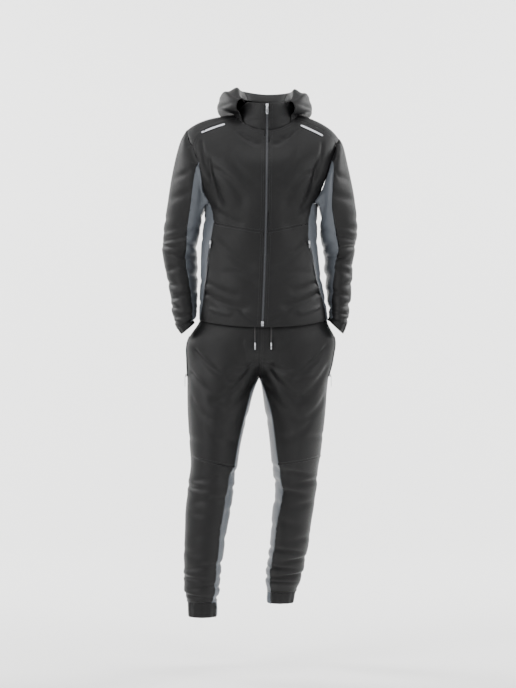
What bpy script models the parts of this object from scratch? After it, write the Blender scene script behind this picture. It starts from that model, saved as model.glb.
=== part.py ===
"""Tracksuit as worn: a hooded zip jacket and joggers with contrast side and inseam panels.

Sizes are in millimetres where a table gives them, and in metres in the meshes. +Z is up, the
front faces -Y, and the origin lies between the shoulder points at the height of the collar seam.
"""
import bpy
import math
import numpy as np
from mathutils import Vector
from mathutils.bvhtree import BVHTree

# Driving dimensions, in millimetres
WALL = 1.8                 # knit cloth
SEAM_PULL = 0.17           # each cut piece ends this short of its seam line
ZIP_HALF = 4.0             # half width of the zip between the front edges
ROUNDNESS = 2.25           # superellipse power of the body rings
HEM_FRONT_Z = -600.0
HEM_SIDE_Z = -578.0
SHOULDER_HALF = 216.0
COLLAR_TOP_Z = 20.0
CROTCH_Z = -738.0
CROTCH_X = -12.5
CUFF_GATHERS = 11
WAIST_GATHERS = 8
EYE_DISTANCE = 5000.0      # sizes of the legs are read in the plane of the chest from here
EYE_X = -17.0
EYE_Z = -645.0

for old in list(bpy.data.objects):
    bpy.data.objects.remove(old, do_unlink=True)
garment = bpy.data.collections.new("tracksuit")
bpy.context.scene.collection.children.link(garment)


def material(name, colour, roughness, metallic=0.0):
    mat = bpy.data.materials.new(name)
    mat.use_nodes = True
    shader = mat.node_tree.nodes["Principled BSDF"]
    shader.inputs["Base Color"].default_value = (*colour, 1.0)
    shader.inputs["Roughness"].default_value = roughness
    shader.inputs["Metallic"].default_value = metallic
    return mat


BLACK_KNIT = material("black_knit", (0.014, 0.014, 0.015), 0.7)
GREY_KNIT = material("grey_knit", (0.115, 0.125, 0.14), 0.5)
RIB_KNIT = material("elastic_band", (0.012, 0.012, 0.013), 0.8)
REFLECTIVE = material("reflective_tape", (0.62, 0.62, 0.66), 0.3)
ZIP_TAPE = material("zip_tape", (0.05, 0.05, 0.055), 0.6)
ZIP_METAL = material("zip_metal", (0.55, 0.55, 0.57), 0.3, 1.0)
CORD_COTTON = material("cord_cotton", (0.012, 0.012, 0.012), 0.85)


def along(table, t):
    """Smooth reading of a table whose first column is the place along it."""
    rows = np.asarray(table, dtype=float)
    key = rows[:, 0]
    last = len(rows) - 1
    i = int(np.clip(np.searchsorted(key, t) - 1, 0, last - 1))
    span = key[i + 1] - key[i]
    f = (np.clip(t, key[0], key[-1]) - key[i]) / span

    def slope(j):
        a, b = max(j - 1, 0), min(j + 1, last)
        return (rows[b, 1:] - rows[a, 1:]) / (key[b] - key[a])

    h00, h10 = 2 * f**3 - 3 * f**2 + 1, f**3 - 2 * f**2 + f
    h01, h11 = 3 * f**2 - 2 * f**3, f**3 - f**2
    return (h00 * rows[i, 1:] + h10 * span * slope(i)
            + h01 * rows[i + 1, 1:] + h11 * span * slope(i + 1))


def unit(v):
    return v / max(np.linalg.norm(v), 1e-9)


def smooth_step(f):
    f = min(max(f, 0.0), 1.0)
    return f * f * (3.0 - 2.0 * f)


def fold_depth(folds, p, n):
    """Sum of the folds at a point: troughs are positive, ridges negative."""
    total = 0.0
    for x1, z1, x2, z2, width, depth, face in folds:
        facing = smooth_step(face * n[1] * 2.0)
        if facing == 0.0:
            continue
        ax, az = x2 - x1, z2 - z1
        length = math.hypot(ax, az)
        f = ((p[0] - x1) * ax + (p[2] - z1) * az) / length**2
        off = abs((p[0] - x1) * az - (p[2] - z1) * ax) / length
        beyond = max(0.0, -f, f - 1.0) * length
        total += facing * depth * math.exp(-(off / width)**2 - (beyond / width)**2)
    return total


def grid_normals(points, wrap):
    """Outward normals of a grid whose rows run round the tube and whose columns run along it."""
    if wrap:
        before, after = np.roll(points, 1, axis=1), np.roll(points, -1, axis=1)
    else:
        before = np.concatenate([points[:, :1], points[:, :-1]], axis=1)
        after = np.concatenate([points[:, 1:], points[:, -1:]], axis=1)
    under = np.concatenate([points[:1], points[:-1]], axis=0)
    over = np.concatenate([points[1:], points[-1:]], axis=0)
    normals = np.cross(after - before, over - under)
    return normals / np.maximum(np.linalg.norm(normals, axis=2, keepdims=True), 1e-9)


def pulled(points, wrap, edges):
    """Move the edge rows and columns inwards, square to the seam, by the seam gap."""
    result = points.copy()
    rows, cols = points.shape[:2]

    def shift(index, inner, near_a, near_b):
        p = points[index]
        line = unit(points[near_b] - points[near_a])
        inward = points[inner] - p
        inward = inward - line * inward.dot(line)
        result[index] += unit(inward) * SEAM_PULL

    for end, inner in (("first_row", 1), ("last_row", rows - 2)):
        if end in edges:
            r = 0 if inner == 1 else rows - 1
            for c in range(cols):
                a = (c - 1) % cols if wrap else max(c - 1, 0)
                b = (c + 1) % cols if wrap else min(c + 1, cols - 1)
                shift((r, c), (inner, c), (r, a), (r, b))
    for end, inner in (("first_col", 1), ("last_col", cols - 2)):
        if end in edges and not wrap:
            c = 0 if inner == 1 else cols - 1
            for r in range(rows):
                shift((r, c), (r, inner), (max(r - 1, 0), c), (min(r + 1, rows - 1), c))
    return result


ALL_EDGES = ("first_row", "last_row", "first_col", "last_col")
OUTER = {}                 # outer faces of each cloth piece, for what lies on it


def add_mesh(name, vertices, faces, mat):
    mesh = bpy.data.meshes.new(name)
    mesh.from_pydata([tuple(float(c) * 0.001 for c in v) for v in vertices], [], faces)
    mesh.materials.append(mat)
    mesh.validate()
    mesh.update()
    obj = bpy.data.objects.new(name, mesh)
    garment.objects.link(obj)
    return obj


def cloth(name, points, normals, mat, wrap=False, edges=ALL_EDGES, wall=WALL, lift=0.0):
    """One cut piece: a wall through a grid of points, thickened inwards."""
    outer = pulled(np.asarray(points, dtype=float), wrap, edges) + normals * lift
    inner = outer - normals * wall
    rows, cols = outer.shape[:2]
    count = rows * cols
    vertices = list(outer.reshape(-1, 3)) + list(inner.reshape(-1, 3))
    faces = []
    skin = []
    spans = cols if wrap else cols - 1
    for r in range(rows - 1):
        for c in range(spans):
            d = (c + 1) % cols
            a, b, e, f = r * cols + c, r * cols + d, (r + 1) * cols + d, (r + 1) * cols + c
            skin += [(a, b, e), (a, e, f)]
    faces += skin
    faces += [(c + count, b + count, a + count) for a, b, c in skin]
    for c in range(spans):
        d = (c + 1) % cols
        a, b = c, d
        faces += [(b, a, a + count), (b, a + count, b + count)]
        a, b = (rows - 1) * cols + c, (rows - 1) * cols + d
        faces += [(a, b, a + count), (b, b + count, a + count)]
    if not wrap:
        for r in range(rows - 1):
            a, b = r * cols, (r + 1) * cols
            faces += [(a, b, a + count), (b, b + count, a + count)]
            a, b = a + cols - 1, b + cols - 1
            faces += [(b, a, a + count), (b, a + count, b + count)]
    OUTER[name] = (vertices[:count], skin)
    return add_mesh(name, vertices, faces, mat)


# Jacket body: rings from the hem to the neck, read along t (height at the side, then past the
# shoulder point to the neck)
# t, centre x, centre y, half width, depth front, depth back, z side, z front, z back
BODY_RINGS = (
    (-578, -1.5, 0, 179.5, 118, 112, HEM_SIDE_Z, HEM_FRONT_Z, -590),
    (-523, -5, 0, 176, 118, 106, -523, -536, -530),
    (-455, -10, 0, 168, 114, 99, -455, -462, -458),
    (-360, -14, 0, 163.5, 110, 96, -360, -360, -360),
    (-311, -10, 2, 161, 113, 101, -311, -311, -311),
    (-258, -8, 5, 160, 119, 110, -258, -264, -256),
    (-180, -9, 9, 200, 121, 117, -180, -198, -172),
    (-120, -10, 12, 212, 115, 116, -120, -158, -108),
    (-70, -8, 15, SHOULDER_HALF, 104, 108, -72, -130, -60),
    (-40, -13, 18, 200, 97, 102, -45, -116, -36),
    (22, -12, 22, 146, 86, 86, -16, -88, -14),
    (84, 8, 25, 86, 74, 66, -4, -55, 4),
)
# t, offset of the side seam or armhole from the ring's centre: right half, left half
SIDE_SEAM = (
    (-578, 176, 174), (-523, 167, 170), (-455, 150, 153), (-400, 143, 147), (-350, 131, 134),
    (-314, 129, 132), (-285, 133, 134), (-258, 143, 146), (-228, 160, 166), (-200, 163, 176),
    (-168, 166, 186), (-130, 171, 196), (-110, 178, 203), (-92, 187, 208),
)
YOKE_T = -92
NECK_T = 84
YOKE_NECK_OFFSET = 76
ARMHOLE_TOP_T = {-1: -42, 1: -70}
# t, x of the zip
ZIP_LINE = ((-578, -5), (-360, 3.5), (-180, 6.5), (84, 8))
# t at the zip, t at the side
BODY_ROWS = np.array((
    (-578, -578), (-555, -554), (-530, -524), (-495, -487), (-455, -450), (-415, -405),
    (-378, -358), (-341, -314), (-300, -285), (-262, -258), (-232, -228), (-202, -200),
    (-170, -168), (-134, -130), (-112, -110), (-92, -92), (-60, -60), (-12, -12), (38, 38),
    (84, 84),
), dtype=float)
CHEST_SEAM, UNDERARM, APEX, YOKE_ROW = 7, 9, 13, 15
FRONT_COLS, SIDE_COLS, YOKE_COLS, BACK_COLS = 8, 4, 6, 12
# Folds: x1, z1, x2, z2, half width, depth (trough +, ridge -), side that shows them
JACKET_FOLDS = (
    (-165, -523, -50, -550, 18, 6, -1), (-150, -488, -70, -505, 18, -4, -1),
    (165, -515, 60, -545, 18, 6, -1), (-90, -330, -50, -230, 24, 4, -1),
    (80, -330, 55, -230, 24, 4, -1), (-150, -150, -138, -250, 18, 6, -1),
    (150, -160, 145, -260, 18, 6, -1), (-115, -365, -50, -420, 22, 4, -1),
    (105, -365, 60, -420, 22, 3, -1), (-130, -180, -60, -300, 28, 6, 1),
    (125, -180, 60, -300, 28, 6, 1), (-120, -524, 110, -524, 20, 5, 1),
    (-110, -450, 120, -450, 22, 5, 1),
)


def ring_angle(offset, t):
    """Angle on the body ring at which it stands this far to the side of its centre."""
    half = along(BODY_RINGS, t)[2]
    ratio = min(abs(offset) / half, 0.985)
    return math.copysign(math.degrees(math.asin(ratio ** (ROUNDNESS / 2))), offset)


def body_base(angle, t):
    cx, cy, half, front, back, z_side, z_front, z_back = along(BODY_RINGS, t)
    s, c = math.sin(math.radians(angle)), math.cos(math.radians(angle))
    x = cx + half * math.copysign(abs(s) ** (2 / ROUNDNESS), s)
    y = cy - (front if c > 0 else back) * math.copysign(abs(c) ** (2 / ROUNDNESS), c)
    z = z_side + ((z_front if c > 0 else z_back) - z_side) * abs(c) ** 1.7
    return np.array((x, y, z))


def slope_normal(surface, angle, t):
    da, dt = 1.5, 3.0
    low, high = max(t - dt, BODY_RINGS[0][0]), min(t + dt, NECK_T)
    across = surface(angle + da, t) - surface(angle - da, t)
    up = surface(angle, high) - surface(angle, low)
    return unit(np.cross(across, up))


def body_surface(angle, t):
    p = body_base(angle, t)
    n = slope_normal(body_base, angle, t)
    return p - n * fold_depth(JACKET_FOLDS, p, n)


def body_grid(angles, ts):
    """Points and normals over matching arrays of angles and t."""
    points = np.zeros((*angles.shape, 3))
    normals = np.zeros_like(points)
    for index in np.ndindex(angles.shape):
        points[index] = body_surface(angles[index], ts[index])
        normals[index] = slope_normal(body_surface, angles[index], ts[index])
    return [points, normals]


def side_angle(side, t):
    """Side seam, armhole edge and yoke seam as one line from the hem to the neck."""
    if t <= YOKE_T:
        return side * ring_angle(along(SIDE_SEAM, t)[0 if side < 0 else 1], t)
    corner = side_angle(side, YOKE_T)
    neck = side * ring_angle(YOKE_NECK_OFFSET, NECK_T)
    return corner + (neck - corner) * (t - YOKE_T) / (NECK_T - YOKE_T)


def zip_angle(side, t):
    centre = along(BODY_RINGS, t)[0]
    return ring_angle(along(ZIP_LINE, t)[0] + side * ZIP_HALF - centre, t)


def spread(first, last, count):
    return np.array([np.linspace(a, b, count + 1) for a, b in zip(first, last)])


t_zip, t_side = BODY_ROWS[:, 0], BODY_ROWS[:, 1]
GRID = {}
zip_edge = {s: np.array([zip_angle(s, t) for t in t_zip]) for s in (-1, 1)}
side_edge = {s: np.array([side_angle(s, t) for t in t_side]) for s in (-1, 1)}
GRID["front_1"] = body_grid(spread(zip_edge[1], side_edge[1], FRONT_COLS),
                            spread(t_zip, t_side, FRONT_COLS))
GRID["front_-1"] = body_grid(spread(side_edge[-1], zip_edge[-1], FRONT_COLS),
                             spread(t_side, t_zip, FRONT_COLS))
GRID["back"] = body_grid(spread(180 - side_edge[1], 180 - side_edge[-1], BACK_COLS),
                         spread(t_side, t_side, BACK_COLS))
for side in (-1, 1):
    low = side_edge[side][:UNDERARM + 1]
    ends = (low, 180 * side - low) if side > 0 else (-180 - low, low)
    ts = t_side[:UNDERARM + 1]
    GRID[f"side_{side}"] = body_grid(spread(*ends, SIDE_COLS), spread(ts, ts, SIDE_COLS))
    high = side_edge[side][YOKE_ROW:]
    ends = (high, 180 - high) if side > 0 else (-180 - high, high)
    share = (t_side[YOKE_ROW:] - YOKE_T) / (NECK_T - YOKE_T)
    arch = 1 - np.abs(np.linspace(-1, 1, YOKE_COLS + 1)) ** 2.0
    start = YOKE_T + (ARMHOLE_TOP_T[side] - YOKE_T) * arch
    ts = start[None, :] * (1 - share[:, None]) + NECK_T * share[:, None]
    GRID[f"yoke_{side}"] = body_grid(spread(*ends, YOKE_COLS), ts)

# Seams that two grids share take the front's or back's own points, so the edges match exactly
for side in (-1, 1):
    front, back = GRID[f"front_{side}"], GRID["back"]
    f_col, b_col = (-1, 0) if side > 0 else (0, -1)
    own_f, own_b = (0, -1) if side > 0 else (-1, 0)
    for k in (0, 1):
        GRID[f"side_{side}"][k][:, own_f] = front[k][:UNDERARM + 1, f_col]
        GRID[f"side_{side}"][k][:, own_b] = back[k][:UNDERARM + 1, b_col]
        GRID[f"yoke_{side}"][k][:, own_f] = front[k][YOKE_ROW:, f_col]
        GRID[f"yoke_{side}"][k][:, own_b] = back[k][YOKE_ROW:, b_col]

# Sleeves: sections from the armhole to the wrist
# outer x, outer z, inner x, inner z, centre y, half depth, grey seam (share from outer to inner)
SLEEVE_ROWS = {-1: (
    (-219, -52, -171, -266, 8, 70, 0.62), (-225, -61, -171, -280, 8, 75, 0.63),
    (-234, -78, -172, -295, 9, 79, 0.64), (-245, -111, -175, -311, 11, 81, 0.65),
    (-253, -145, -177, -328, 15, 81, 0.66), (-261, -184, -182, -350, 21, 79, 0.67),
    (-268, -228, -188, -372, 30, 75, 0.68), (-276, -278, -188, -387, 39, 71, 0.69),
    (-285, -326, -184, -402, 47, 69, 0.70), (-284, -352, -189, -416, 50, 61, 0.69),
    (-290, -374, -183, -430, 49, 67, 0.69), (-285, -398, -188, -444, 46, 59, 0.70),
    (-281, -426, -183, -462, 41, 62, 0.72), (-272, -462, -187, -486, 33, 55, 0.76),
    (-268, -492, -183, -508, 25, 57, 0.80), (-259, -520, -188, -528, 17, 48, 0.82),
    (-263, -545, -183, -545, 9, 50, 0.83), (-252, -573, -188, -562, 0, 42, 0.85),
    (-251, -589, -187, -571, -5, 41, 0.86), (-243, -602, -196, -579, -9, 35, 0.86),
), 1: (
    (214, -78, 158, -261, 8, 72, 0.62), (220, -90, 158, -279, 8, 76, 0.63),
    (225, -106, 158, -295, 9, 79, 0.63), (232, -133, 156, -311, 11, 81, 0.63),
    (239, -161, 154, -328, 15, 81, 0.63), (245, -189, 156, -347, 20, 79, 0.63),
    (253, -228, 161, -370, 28, 75, 0.63), (259, -267, 164, -385, 37, 71, 0.63),
    (264, -311, 166, -399, 45, 69, 0.62), (263, -346, 172, -416, 50, 66, 0.60),
    (256, -368, 166, -430, 50, 59, 0.64), (257, -390, 168, -444, 47, 65, 0.68),
    (247, -418, 174, -464, 41, 56, 0.72), (251, -458, 169, -488, 33, 60, 0.76),
    (243, -488, 177, -508, 25, 51, 0.80), (247, -515, 173, -526, 17, 53, 0.84),
    (237, -540, 182, -542, 10, 46, 0.88), (240, -562, 178, -555, 4, 46, 0.90),
    (234, -578, 184, -564, -3, 40, 0.90), (231, -593, 181, -572, -9, 35, 0.90),
)}
# outer x, outer z, inner x, inner z at the open end of the cuff
WRIST_END = {-1: (-229, -618, -192, -587), 1: (219, -617, 181, -582)}
WRIST_DEPTH = 31                 # half depth at the open end
ARMHOLE_DECAY = (0.72, 0.46, 0.26, 0.12, 0.04)
SLEEVE_FOLDS = (
    (-236, -130, -216, -320, 24, 5, -1), (230, -150, 206, -320, 24, 5, -1),
    (-240, -130, -225, -300, 26, 5, 1), (230, -150, 210, -300, 26, 5, 1),
)


def armhole(side):
    """Places of the armhole's points, from the front apex over the yoke and under the arm."""
    f_col, b_col = (FRONT_COLS, 0) if side > 0 else (0, BACK_COLS)
    top = range(YOKE_COLS) if side > 0 else range(YOKE_COLS, 0, -1)
    under = range(SIDE_COLS, 0, -1) if side > 0 else range(SIDE_COLS)
    return ([(f"front_{side}", r, f_col) for r in range(APEX, YOKE_ROW)]
            + [(f"yoke_{side}", 0, c) for c in top]
            + [("back", r, b_col) for r in range(YOKE_ROW, UNDERARM, -1)]
            + [(f"side_{side}", UNDERARM, c) for c in under]
            + [(f"front_{side}", r, f_col) for r in range(UNDERARM, APEX)])


BLACK_COLS = 2 * (YOKE_ROW - APEX) + YOKE_COLS
GREY_COLS = 2 * (APEX - UNDERARM) + SIDE_COLS


def section_angles(seam):
    front = math.degrees(math.acos(np.clip(1 - 2 * seam, -1, 1)))
    black = np.linspace(front, -front, BLACK_COLS + 1)
    grey = np.linspace(-front, front - 360, GREY_COLS + 1)
    return np.concatenate([black, grey[1:-1]])


def section(row, angles):
    """Ellipse through an outer and an inner point, its plane square to the front view."""
    outer, inner = np.array((row[0], row[4], row[1])), np.array((row[2], row[4], row[3]))
    middle, half = (outer + inner) / 2, (outer - inner) / 2
    rad = np.radians(angles)[:, None]
    return middle + half * np.cos(rad) - np.array((0, row[5], 0)) * np.sin(rad)


def sleeve_grid(side):
    ring = armhole(side)
    start = np.array([GRID[name][0][r, c] for name, r, c in ring])
    top, bottom = start[BLACK_COLS // 2], start[BLACK_COLS + GREY_COLS // 2]
    middle, half = (top + bottom) / 2, (top - bottom) / 2
    depth = np.max(np.abs(start[:, 1] - middle[1]))
    out = (start - middle) @ half / (half @ half)
    fore = -(start[:, 1] - middle[1]) / depth
    raw = np.degrees(np.arctan2(fore, out))
    raw[BLACK_COLS + 1:] = np.where(raw[BLACK_COLS + 1:] > 0, raw[BLACK_COLS + 1:] - 360,
                                    raw[BLACK_COLS + 1:])
    first = (top[0], top[2], bottom[0], bottom[2], middle[1], depth)
    rest = start - section(first, raw)
    rows = [start]
    for k, row in enumerate(SLEEVE_ROWS[side]):
        share = smooth_step((k + 1) / 5)
        angles = raw * (1 - share) + section_angles(row[6]) * share
        decay = ARMHOLE_DECAY[k] if k < len(ARMHOLE_DECAY) else 0
        rows.append(section(row, angles) + rest * decay)
    points = np.array(rows)
    if side > 0:
        points = points[:, ::-1]
    normals = grid_normals(points, True)
    folded = points.copy()
    for r in range(1, points.shape[0] - 1):
        for c in range(points.shape[1]):
            p, n = points[r, c], normals[r, c]
            folded[r, c] = p - n * fold_depth(SLEEVE_FOLDS, p, n)
    normals = grid_normals(folded, True)
    for c, (name, r, col) in enumerate(ring if side < 0 else ring[::-1]):
        mine, theirs = normals[0, c], GRID[name][1][r, col]
        if mine @ theirs > 0.2:
            normals[0, c] = unit(mine + theirs)
            GRID[name][1][r, col] = normals[0, c]
    return folded, normals


SLEEVES = {side: sleeve_grid(side) for side in (-1, 1)}
for side in (-1, 1):
    # The yoke's corners are points of the front and back too, so all share one normal
    f_col, b_col = (-1, 0) if side > 0 else (0, -1)
    own_f, own_b = (0, -1) if side > 0 else (-1, 0)
    GRID[f"yoke_{side}"][1][0, own_f] = GRID[f"front_{side}"][1][YOKE_ROW, f_col]
    GRID[f"yoke_{side}"][1][0, own_b] = GRID["back"][1][YOKE_ROW, b_col]


# Joggers. Pelvis: z, outer x right, outer x left, depth front, depth back, share of the leg ring
PELVIS_ROWS = (
    (-530, -164, 159, 92, 90, 0), (-558, -168, 163, 96, 94, 0), (-580, -179.2, 176.3, 101, 101, 0),
    (-597, -188, 180, 105, 107, 0), (-620, -207, 196, 107, 111, 0.02),
    (-645, -217, 200, 108, 113, 0.06), (-668, -217, 195, 108, 113, 0.15),
    (-688, -216, 192, 107, 112, 0.29), (-706, -216, 189, 107, 111, 0.48),
    (-723, -215, 183, 106, 109, 0.73), (CROTCH_Z, -214, 179, 104, 106, 1),
)
CROTCH_ROW = len(PELVIS_ROWS) - 1
CROTCH_GAP = 0.6
# Legs: z, outer x, inner x, centre y, half depth, grey seam (share from outer to inner), dip
LEG_ROWS = {-1: (
    (-773, -214, -28, -5, 98, 0.957, 0), (-823, -214, -39, -12, 95, 0.95, 0),
    (-873, -211, -53, -20, 91, 0.95, 0), (-923, -208, -67, -29, 86, 0.95, 12),
    (-955, -205, -72, -36, 82, 0.93, 30), (-985, -204, -76, -41, 80, 0.89, 14),
    (-1012, -208, -80, -46, 74, 0.86, 4), (-1036, -214, -77, -50, 78, 0.85, 0),
    (-1066, -213, -84, -54, 71, 0.84, 0), (-1096, -220, -86, -57, 73, 0.83, 0),
    (-1145, -220, -97, -61, 69, 0.83, 0), (-1195, -222, -106, -66, 65, 0.85, 0),
    (-1235, -225, -110, -70, 63, 0.86, 0), (-1262, -221, -118, -73, 56, 0.86, 0),
    (-1285, -227, -115, -74, 59, 0.86, 0), (-1308, -221, -122, -76, 51, 0.86, 0),
    (-1328, -225, -118, -78, 54, 0.86, 0), (-1347, -217, -127, -79, 45, 0.85, 0),
    (-1360, -213, -129, -80, 43, 0.84, 0),
), 1: (
    (-773, 175, -6, 6, 98, 0.96, 0), (-823, 172, -3, 18, 95, 0.88, 0),
    (-873, 167, 8, 33, 91, 0.887, 0), (-923, 161, 14, 48, 86, 0.878, 10),
    (-955, 157, 17, 60, 82, 0.845, 24), (-985, 151, 21, 70, 80, 0.83, 12),
    (-1012, 148, 21, 79, 74, 0.828, 3), (-1036, 149, 27, 86, 77, 0.82, 0),
    (-1066, 142, 27, 96, 70, 0.80, 0), (-1096, 140, 19, 104, 72, 0.80, 0),
    (-1145, 130, 17, 117, 69, 0.87, 0), (-1195, 126, 15, 130, 65, 0.87, 0),
    (-1225, 120, 8, 139, 63, 0.87, 0), (-1248, 112, 9, 145, 55, 0.88, 0),
    (-1268, 113, 0, 150, 58, 0.88, 0), (-1287, 103, 5, 154, 50, 0.88, 0),
    (-1303, 103, -1, 157, 53, 0.87, 0), (-1320, 92, 6, 161, 44, 0.86, 0),
    (-1332, 88, 6, 164, 42, 0.85, 0),
)}
# z, outer x, inner x, centre y, half depth at the open end of the ankle cuff
ANKLE_END = {-1: (-1401, -211, -131, -80, 39), 1: (-1363, 82, 8, 170, 36)}
KNEE_ROW = CROTCH_ROW + 5
LEG_HALF_COLS, INSEAM_COLS = 7, 3
JOGGER_FOLDS = (
    (-190, -690, -110, -810, 26, 5, -1), (-60, -720, -120, -800, 26, 4, -1),
    (40, -720, 100, -800, 26, 4, -1), (150, -660, 80, -740, 26, 4, -1),
    (-150, -820, -160, -940, 30, -4, -1), (100, -820, 90, -940, 30, -4, -1),
    (-180, -770, -60, -770, 24, 6, 1), (150, -770, 40, -770, 24, 6, 1),
)


def seen_at(points, y):
    """Sizes read in the plane of the chest, widened with the distance that a part is set back."""
    eye = np.array((EYE_X, 0, EYE_Z))
    scale = np.array(((EYE_DISTANCE + y) / EYE_DISTANCE, 1, (EYE_DISTANCE + y) / EYE_DISTANCE))
    return eye + (points - eye) * scale


def leg_section(row, angles):
    """Ring of a leg, level but for the dip of the knee seam towards the inner side."""
    z, outer, inner, y, depth, _, dip = row
    flat = section((outer, z, inner, z, y, depth), angles)
    flat[:, 2] -= dip * (flat[:, 0] - outer) / (inner - outer)
    return seen_at(flat, y)


def leg_angles(seam):
    front = math.degrees(math.acos(np.clip(1 - 2 * seam, -1, 1)))
    black = np.linspace(front, -front, 2 * LEG_HALF_COLS + 1)
    grey = np.linspace(-front, front - 360, INSEAM_COLS + 1)
    return np.concatenate([black, grey[1:-1]])


def leg_grid(side):
    black, ring = [], []
    cols = 2 * LEG_HALF_COLS + 1
    for z, right, left, front, back, share in PELVIS_ROWS:
        outer = right if side < 0 else left
        inner = CROTCH_X + side * CROTCH_GAP
        angles = leg_angles(0.994)
        depth = (front, back)
        half = section((outer, z, 2 * CROTCH_X - outer, z, 0, 1), np.linspace(90, -90, cols))
        full = section((outer, z, inner, z, 0, 1), angles)
        for part in (half, full):
            part[:, 1] *= np.where(part[:, 1] < 0, depth[0], depth[1])
        black.append(half * (1 - share) + full[:cols] * share)
        if share == 1:
            ring.append(full)
    for row in LEG_ROWS[side]:
        whole = leg_section(row, leg_angles(row[5]))
        black.append(whole[:cols])
        ring.append(whole)
    black, ring = np.array(black), np.array(ring)
    flip = slice(None, None, -1 if side > 0 else 1)

    def normals_of(black, ring):
        n_ring = grid_normals(ring[:, flip], True)[:, flip]
        n_black = grid_normals(black[:, flip], False)[:, flip]
        n_black[CROTCH_ROW:] = n_ring[:, :cols]
        return n_black, n_ring

    n_black, n_ring = normals_of(black, ring)
    for points, normals in ((black, n_black), (ring, n_ring)):
        base = points.copy()
        for index in np.ndindex(points.shape[:2]):
            p, n = base[index], normals[index]
            points[index] = p - n * fold_depth(JOGGER_FOLDS, p, n)
    n_black, n_ring = normals_of(black, ring)
    for normals in (n_black, n_ring):
        normals[-1, :, 2] = 0
        normals[-1] /= np.linalg.norm(normals[-1], axis=1, keepdims=True)
    n_black[0, :, 2] = 0
    n_black[0] /= np.linalg.norm(n_black[0], axis=1, keepdims=True)
    return black, n_black, ring, n_ring


LEGS = {side: leg_grid(side) for side in (-1, 1)}
for r in range(CROTCH_ROW):
    for c in (0, -1):
        right, left = LEGS[-1][0][r, c], LEGS[1][0][r, c]
        n_right, n_left = LEGS[-1][1][r, c], LEGS[1][1][r, c]
        if n_right @ n_left > 0.1:
            n_right[:] = n_left[:] = unit(n_right + n_left)
        if PELVIS_ROWS[r][5] == 0:
            right[:] = left[:] = (right + left) / 2


SIDE_NAME = {-1: "R", 1: "L"}


def leg_piece(name, side, points, normals):
    flip = slice(None, None, -1 if side > 0 else 1)
    mat = GREY_KNIT if "inseam" in name else BLACK_KNIT
    cloth(f"{name}_{SIDE_NAME[side]}", points[:, flip], normals[:, flip], mat)


for side in (-1, 1):
    black, n_black, ring, n_ring = LEGS[side]
    k, c = KNEE_ROW, LEG_HALF_COLS
    leg_piece("jogger_front_upper", side, black[:k + 1, :c + 1], n_black[:k + 1, :c + 1])
    leg_piece("jogger_front_lower", side, black[k:, :c + 1], n_black[k:, :c + 1])
    leg_piece("jogger_back", side, black[:, c:], n_black[:, c:])
    inseam = [2 * c] + list(range(2 * c + 1, 2 * c + INSEAM_COLS)) + [0]
    leg_piece("jogger_inseam_panel", side, ring[:, inseam], n_ring[:, inseam])


# Elastic bands: cuffs and waistband, gathered all round
def band(name, sections, spans, gather, gathers, axis):
    """Gathered tube through sections (outer x, outer z, inner x, inner z, y, depth), cut in spans."""
    count = 4 * gathers
    angles = np.linspace(0, -360, count + 1)[:-1]
    swell = np.array([0, gather, 0, -gather] * gathers)
    points = []
    for row in sections:
        ring = section(row, angles)
        out = ring - ring.mean(axis=0)
        out /= np.linalg.norm(out, axis=1, keepdims=True)
        points.append(ring + out * swell[:, None])
    points = np.array(points)
    if sections[0][0] > sections[0][2]:
        points = points[:, ::-1]
    normals = grid_normals(points, True)
    normals -= (normals @ axis)[:, :, None] * axis
    normals /= np.linalg.norm(normals, axis=2, keepdims=True)
    for label, first, last, mat in spans:
        if last - first == count:
            cloth(f"{name}{label}", points, normals, mat, wrap=True,
                  edges=("first_row", "last_row"))
        else:
            cols = [c % count for c in range(first, last + 1)]
            cloth(f"{name}{label}", points[:, cols], normals[:, cols], mat)


def wrist_cuff(side):
    top = SLEEVE_ROWS[side][-1]
    end = (*WRIST_END[side], top[4] - 3, WRIST_DEPTH)
    half = np.array((top[0] - top[2], 0, top[1] - top[3]), dtype=float)
    axis = unit(np.cross(half, (0, 1, 0)))
    band(f"jacket_wrist_cuff_{SIDE_NAME[side]}", (top[:6], end),
         (("", 0, 4 * CUFF_GATHERS, RIB_KNIT),), 1.2, CUFF_GATHERS, axis)


def ankle_cuff(side):
    rows = [LEG_ROWS[side][-1][:5], ANKLE_END[side]]
    placed = []
    for z, outer, inner, y, depth in rows:
        out, into = seen_at(np.array(((outer, y, z), (inner, y, z))), y)
        placed.append((out[0], out[2], into[0], into[2], y, depth))
    grey_first, grey_last = 16, 25
    count = 4 * CUFF_GATHERS
    name = f"jogger_ankle_cuff_{SIDE_NAME[side]}"
    band(name, placed, (("", grey_last, grey_first + count, RIB_KNIT),
                        ("_insert", grey_first, grey_last, GREY_KNIT)), 1.2, CUFF_GATHERS,
         np.array((0.0, 0.0, 1.0)))


WAIST_X = (PELVIS_ROWS[0][1], PELVIS_ROWS[0][2])
WAIST_DEPTH = PELVIS_ROWS[0][3]
WAIST_TOP_Z = -490
for side in (-1, 1):
    wrist_cuff(side)
    ankle_cuff(side)
waist_sections = [(WAIST_X[0], z, WAIST_X[1], z, 0, WAIST_DEPTH)
                  for z in (WAIST_TOP_Z, PELVIS_ROWS[0][0])]
band("jogger_waistband", waist_sections, (("", 0, 4 * WAIST_GATHERS, RIB_KNIT),), 1.0,
     WAIST_GATHERS, np.array((0.0, 0.0, 1.0)))


# Collar: stands on the neck seam, from the zip round to the centre back
COLLAR_CENTRE = (9, 21)
COLLAR_TOP = (58, 62, 56)                  # half width, depth front, depth back
COLLAR_TOP_Z_SIDE, COLLAR_TOP_Z_BACK = 30, 36
COLLAR_SHARES = (0, 0.4, 0.75, 1)
COLLAR_BULGE = 4.0


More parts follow.
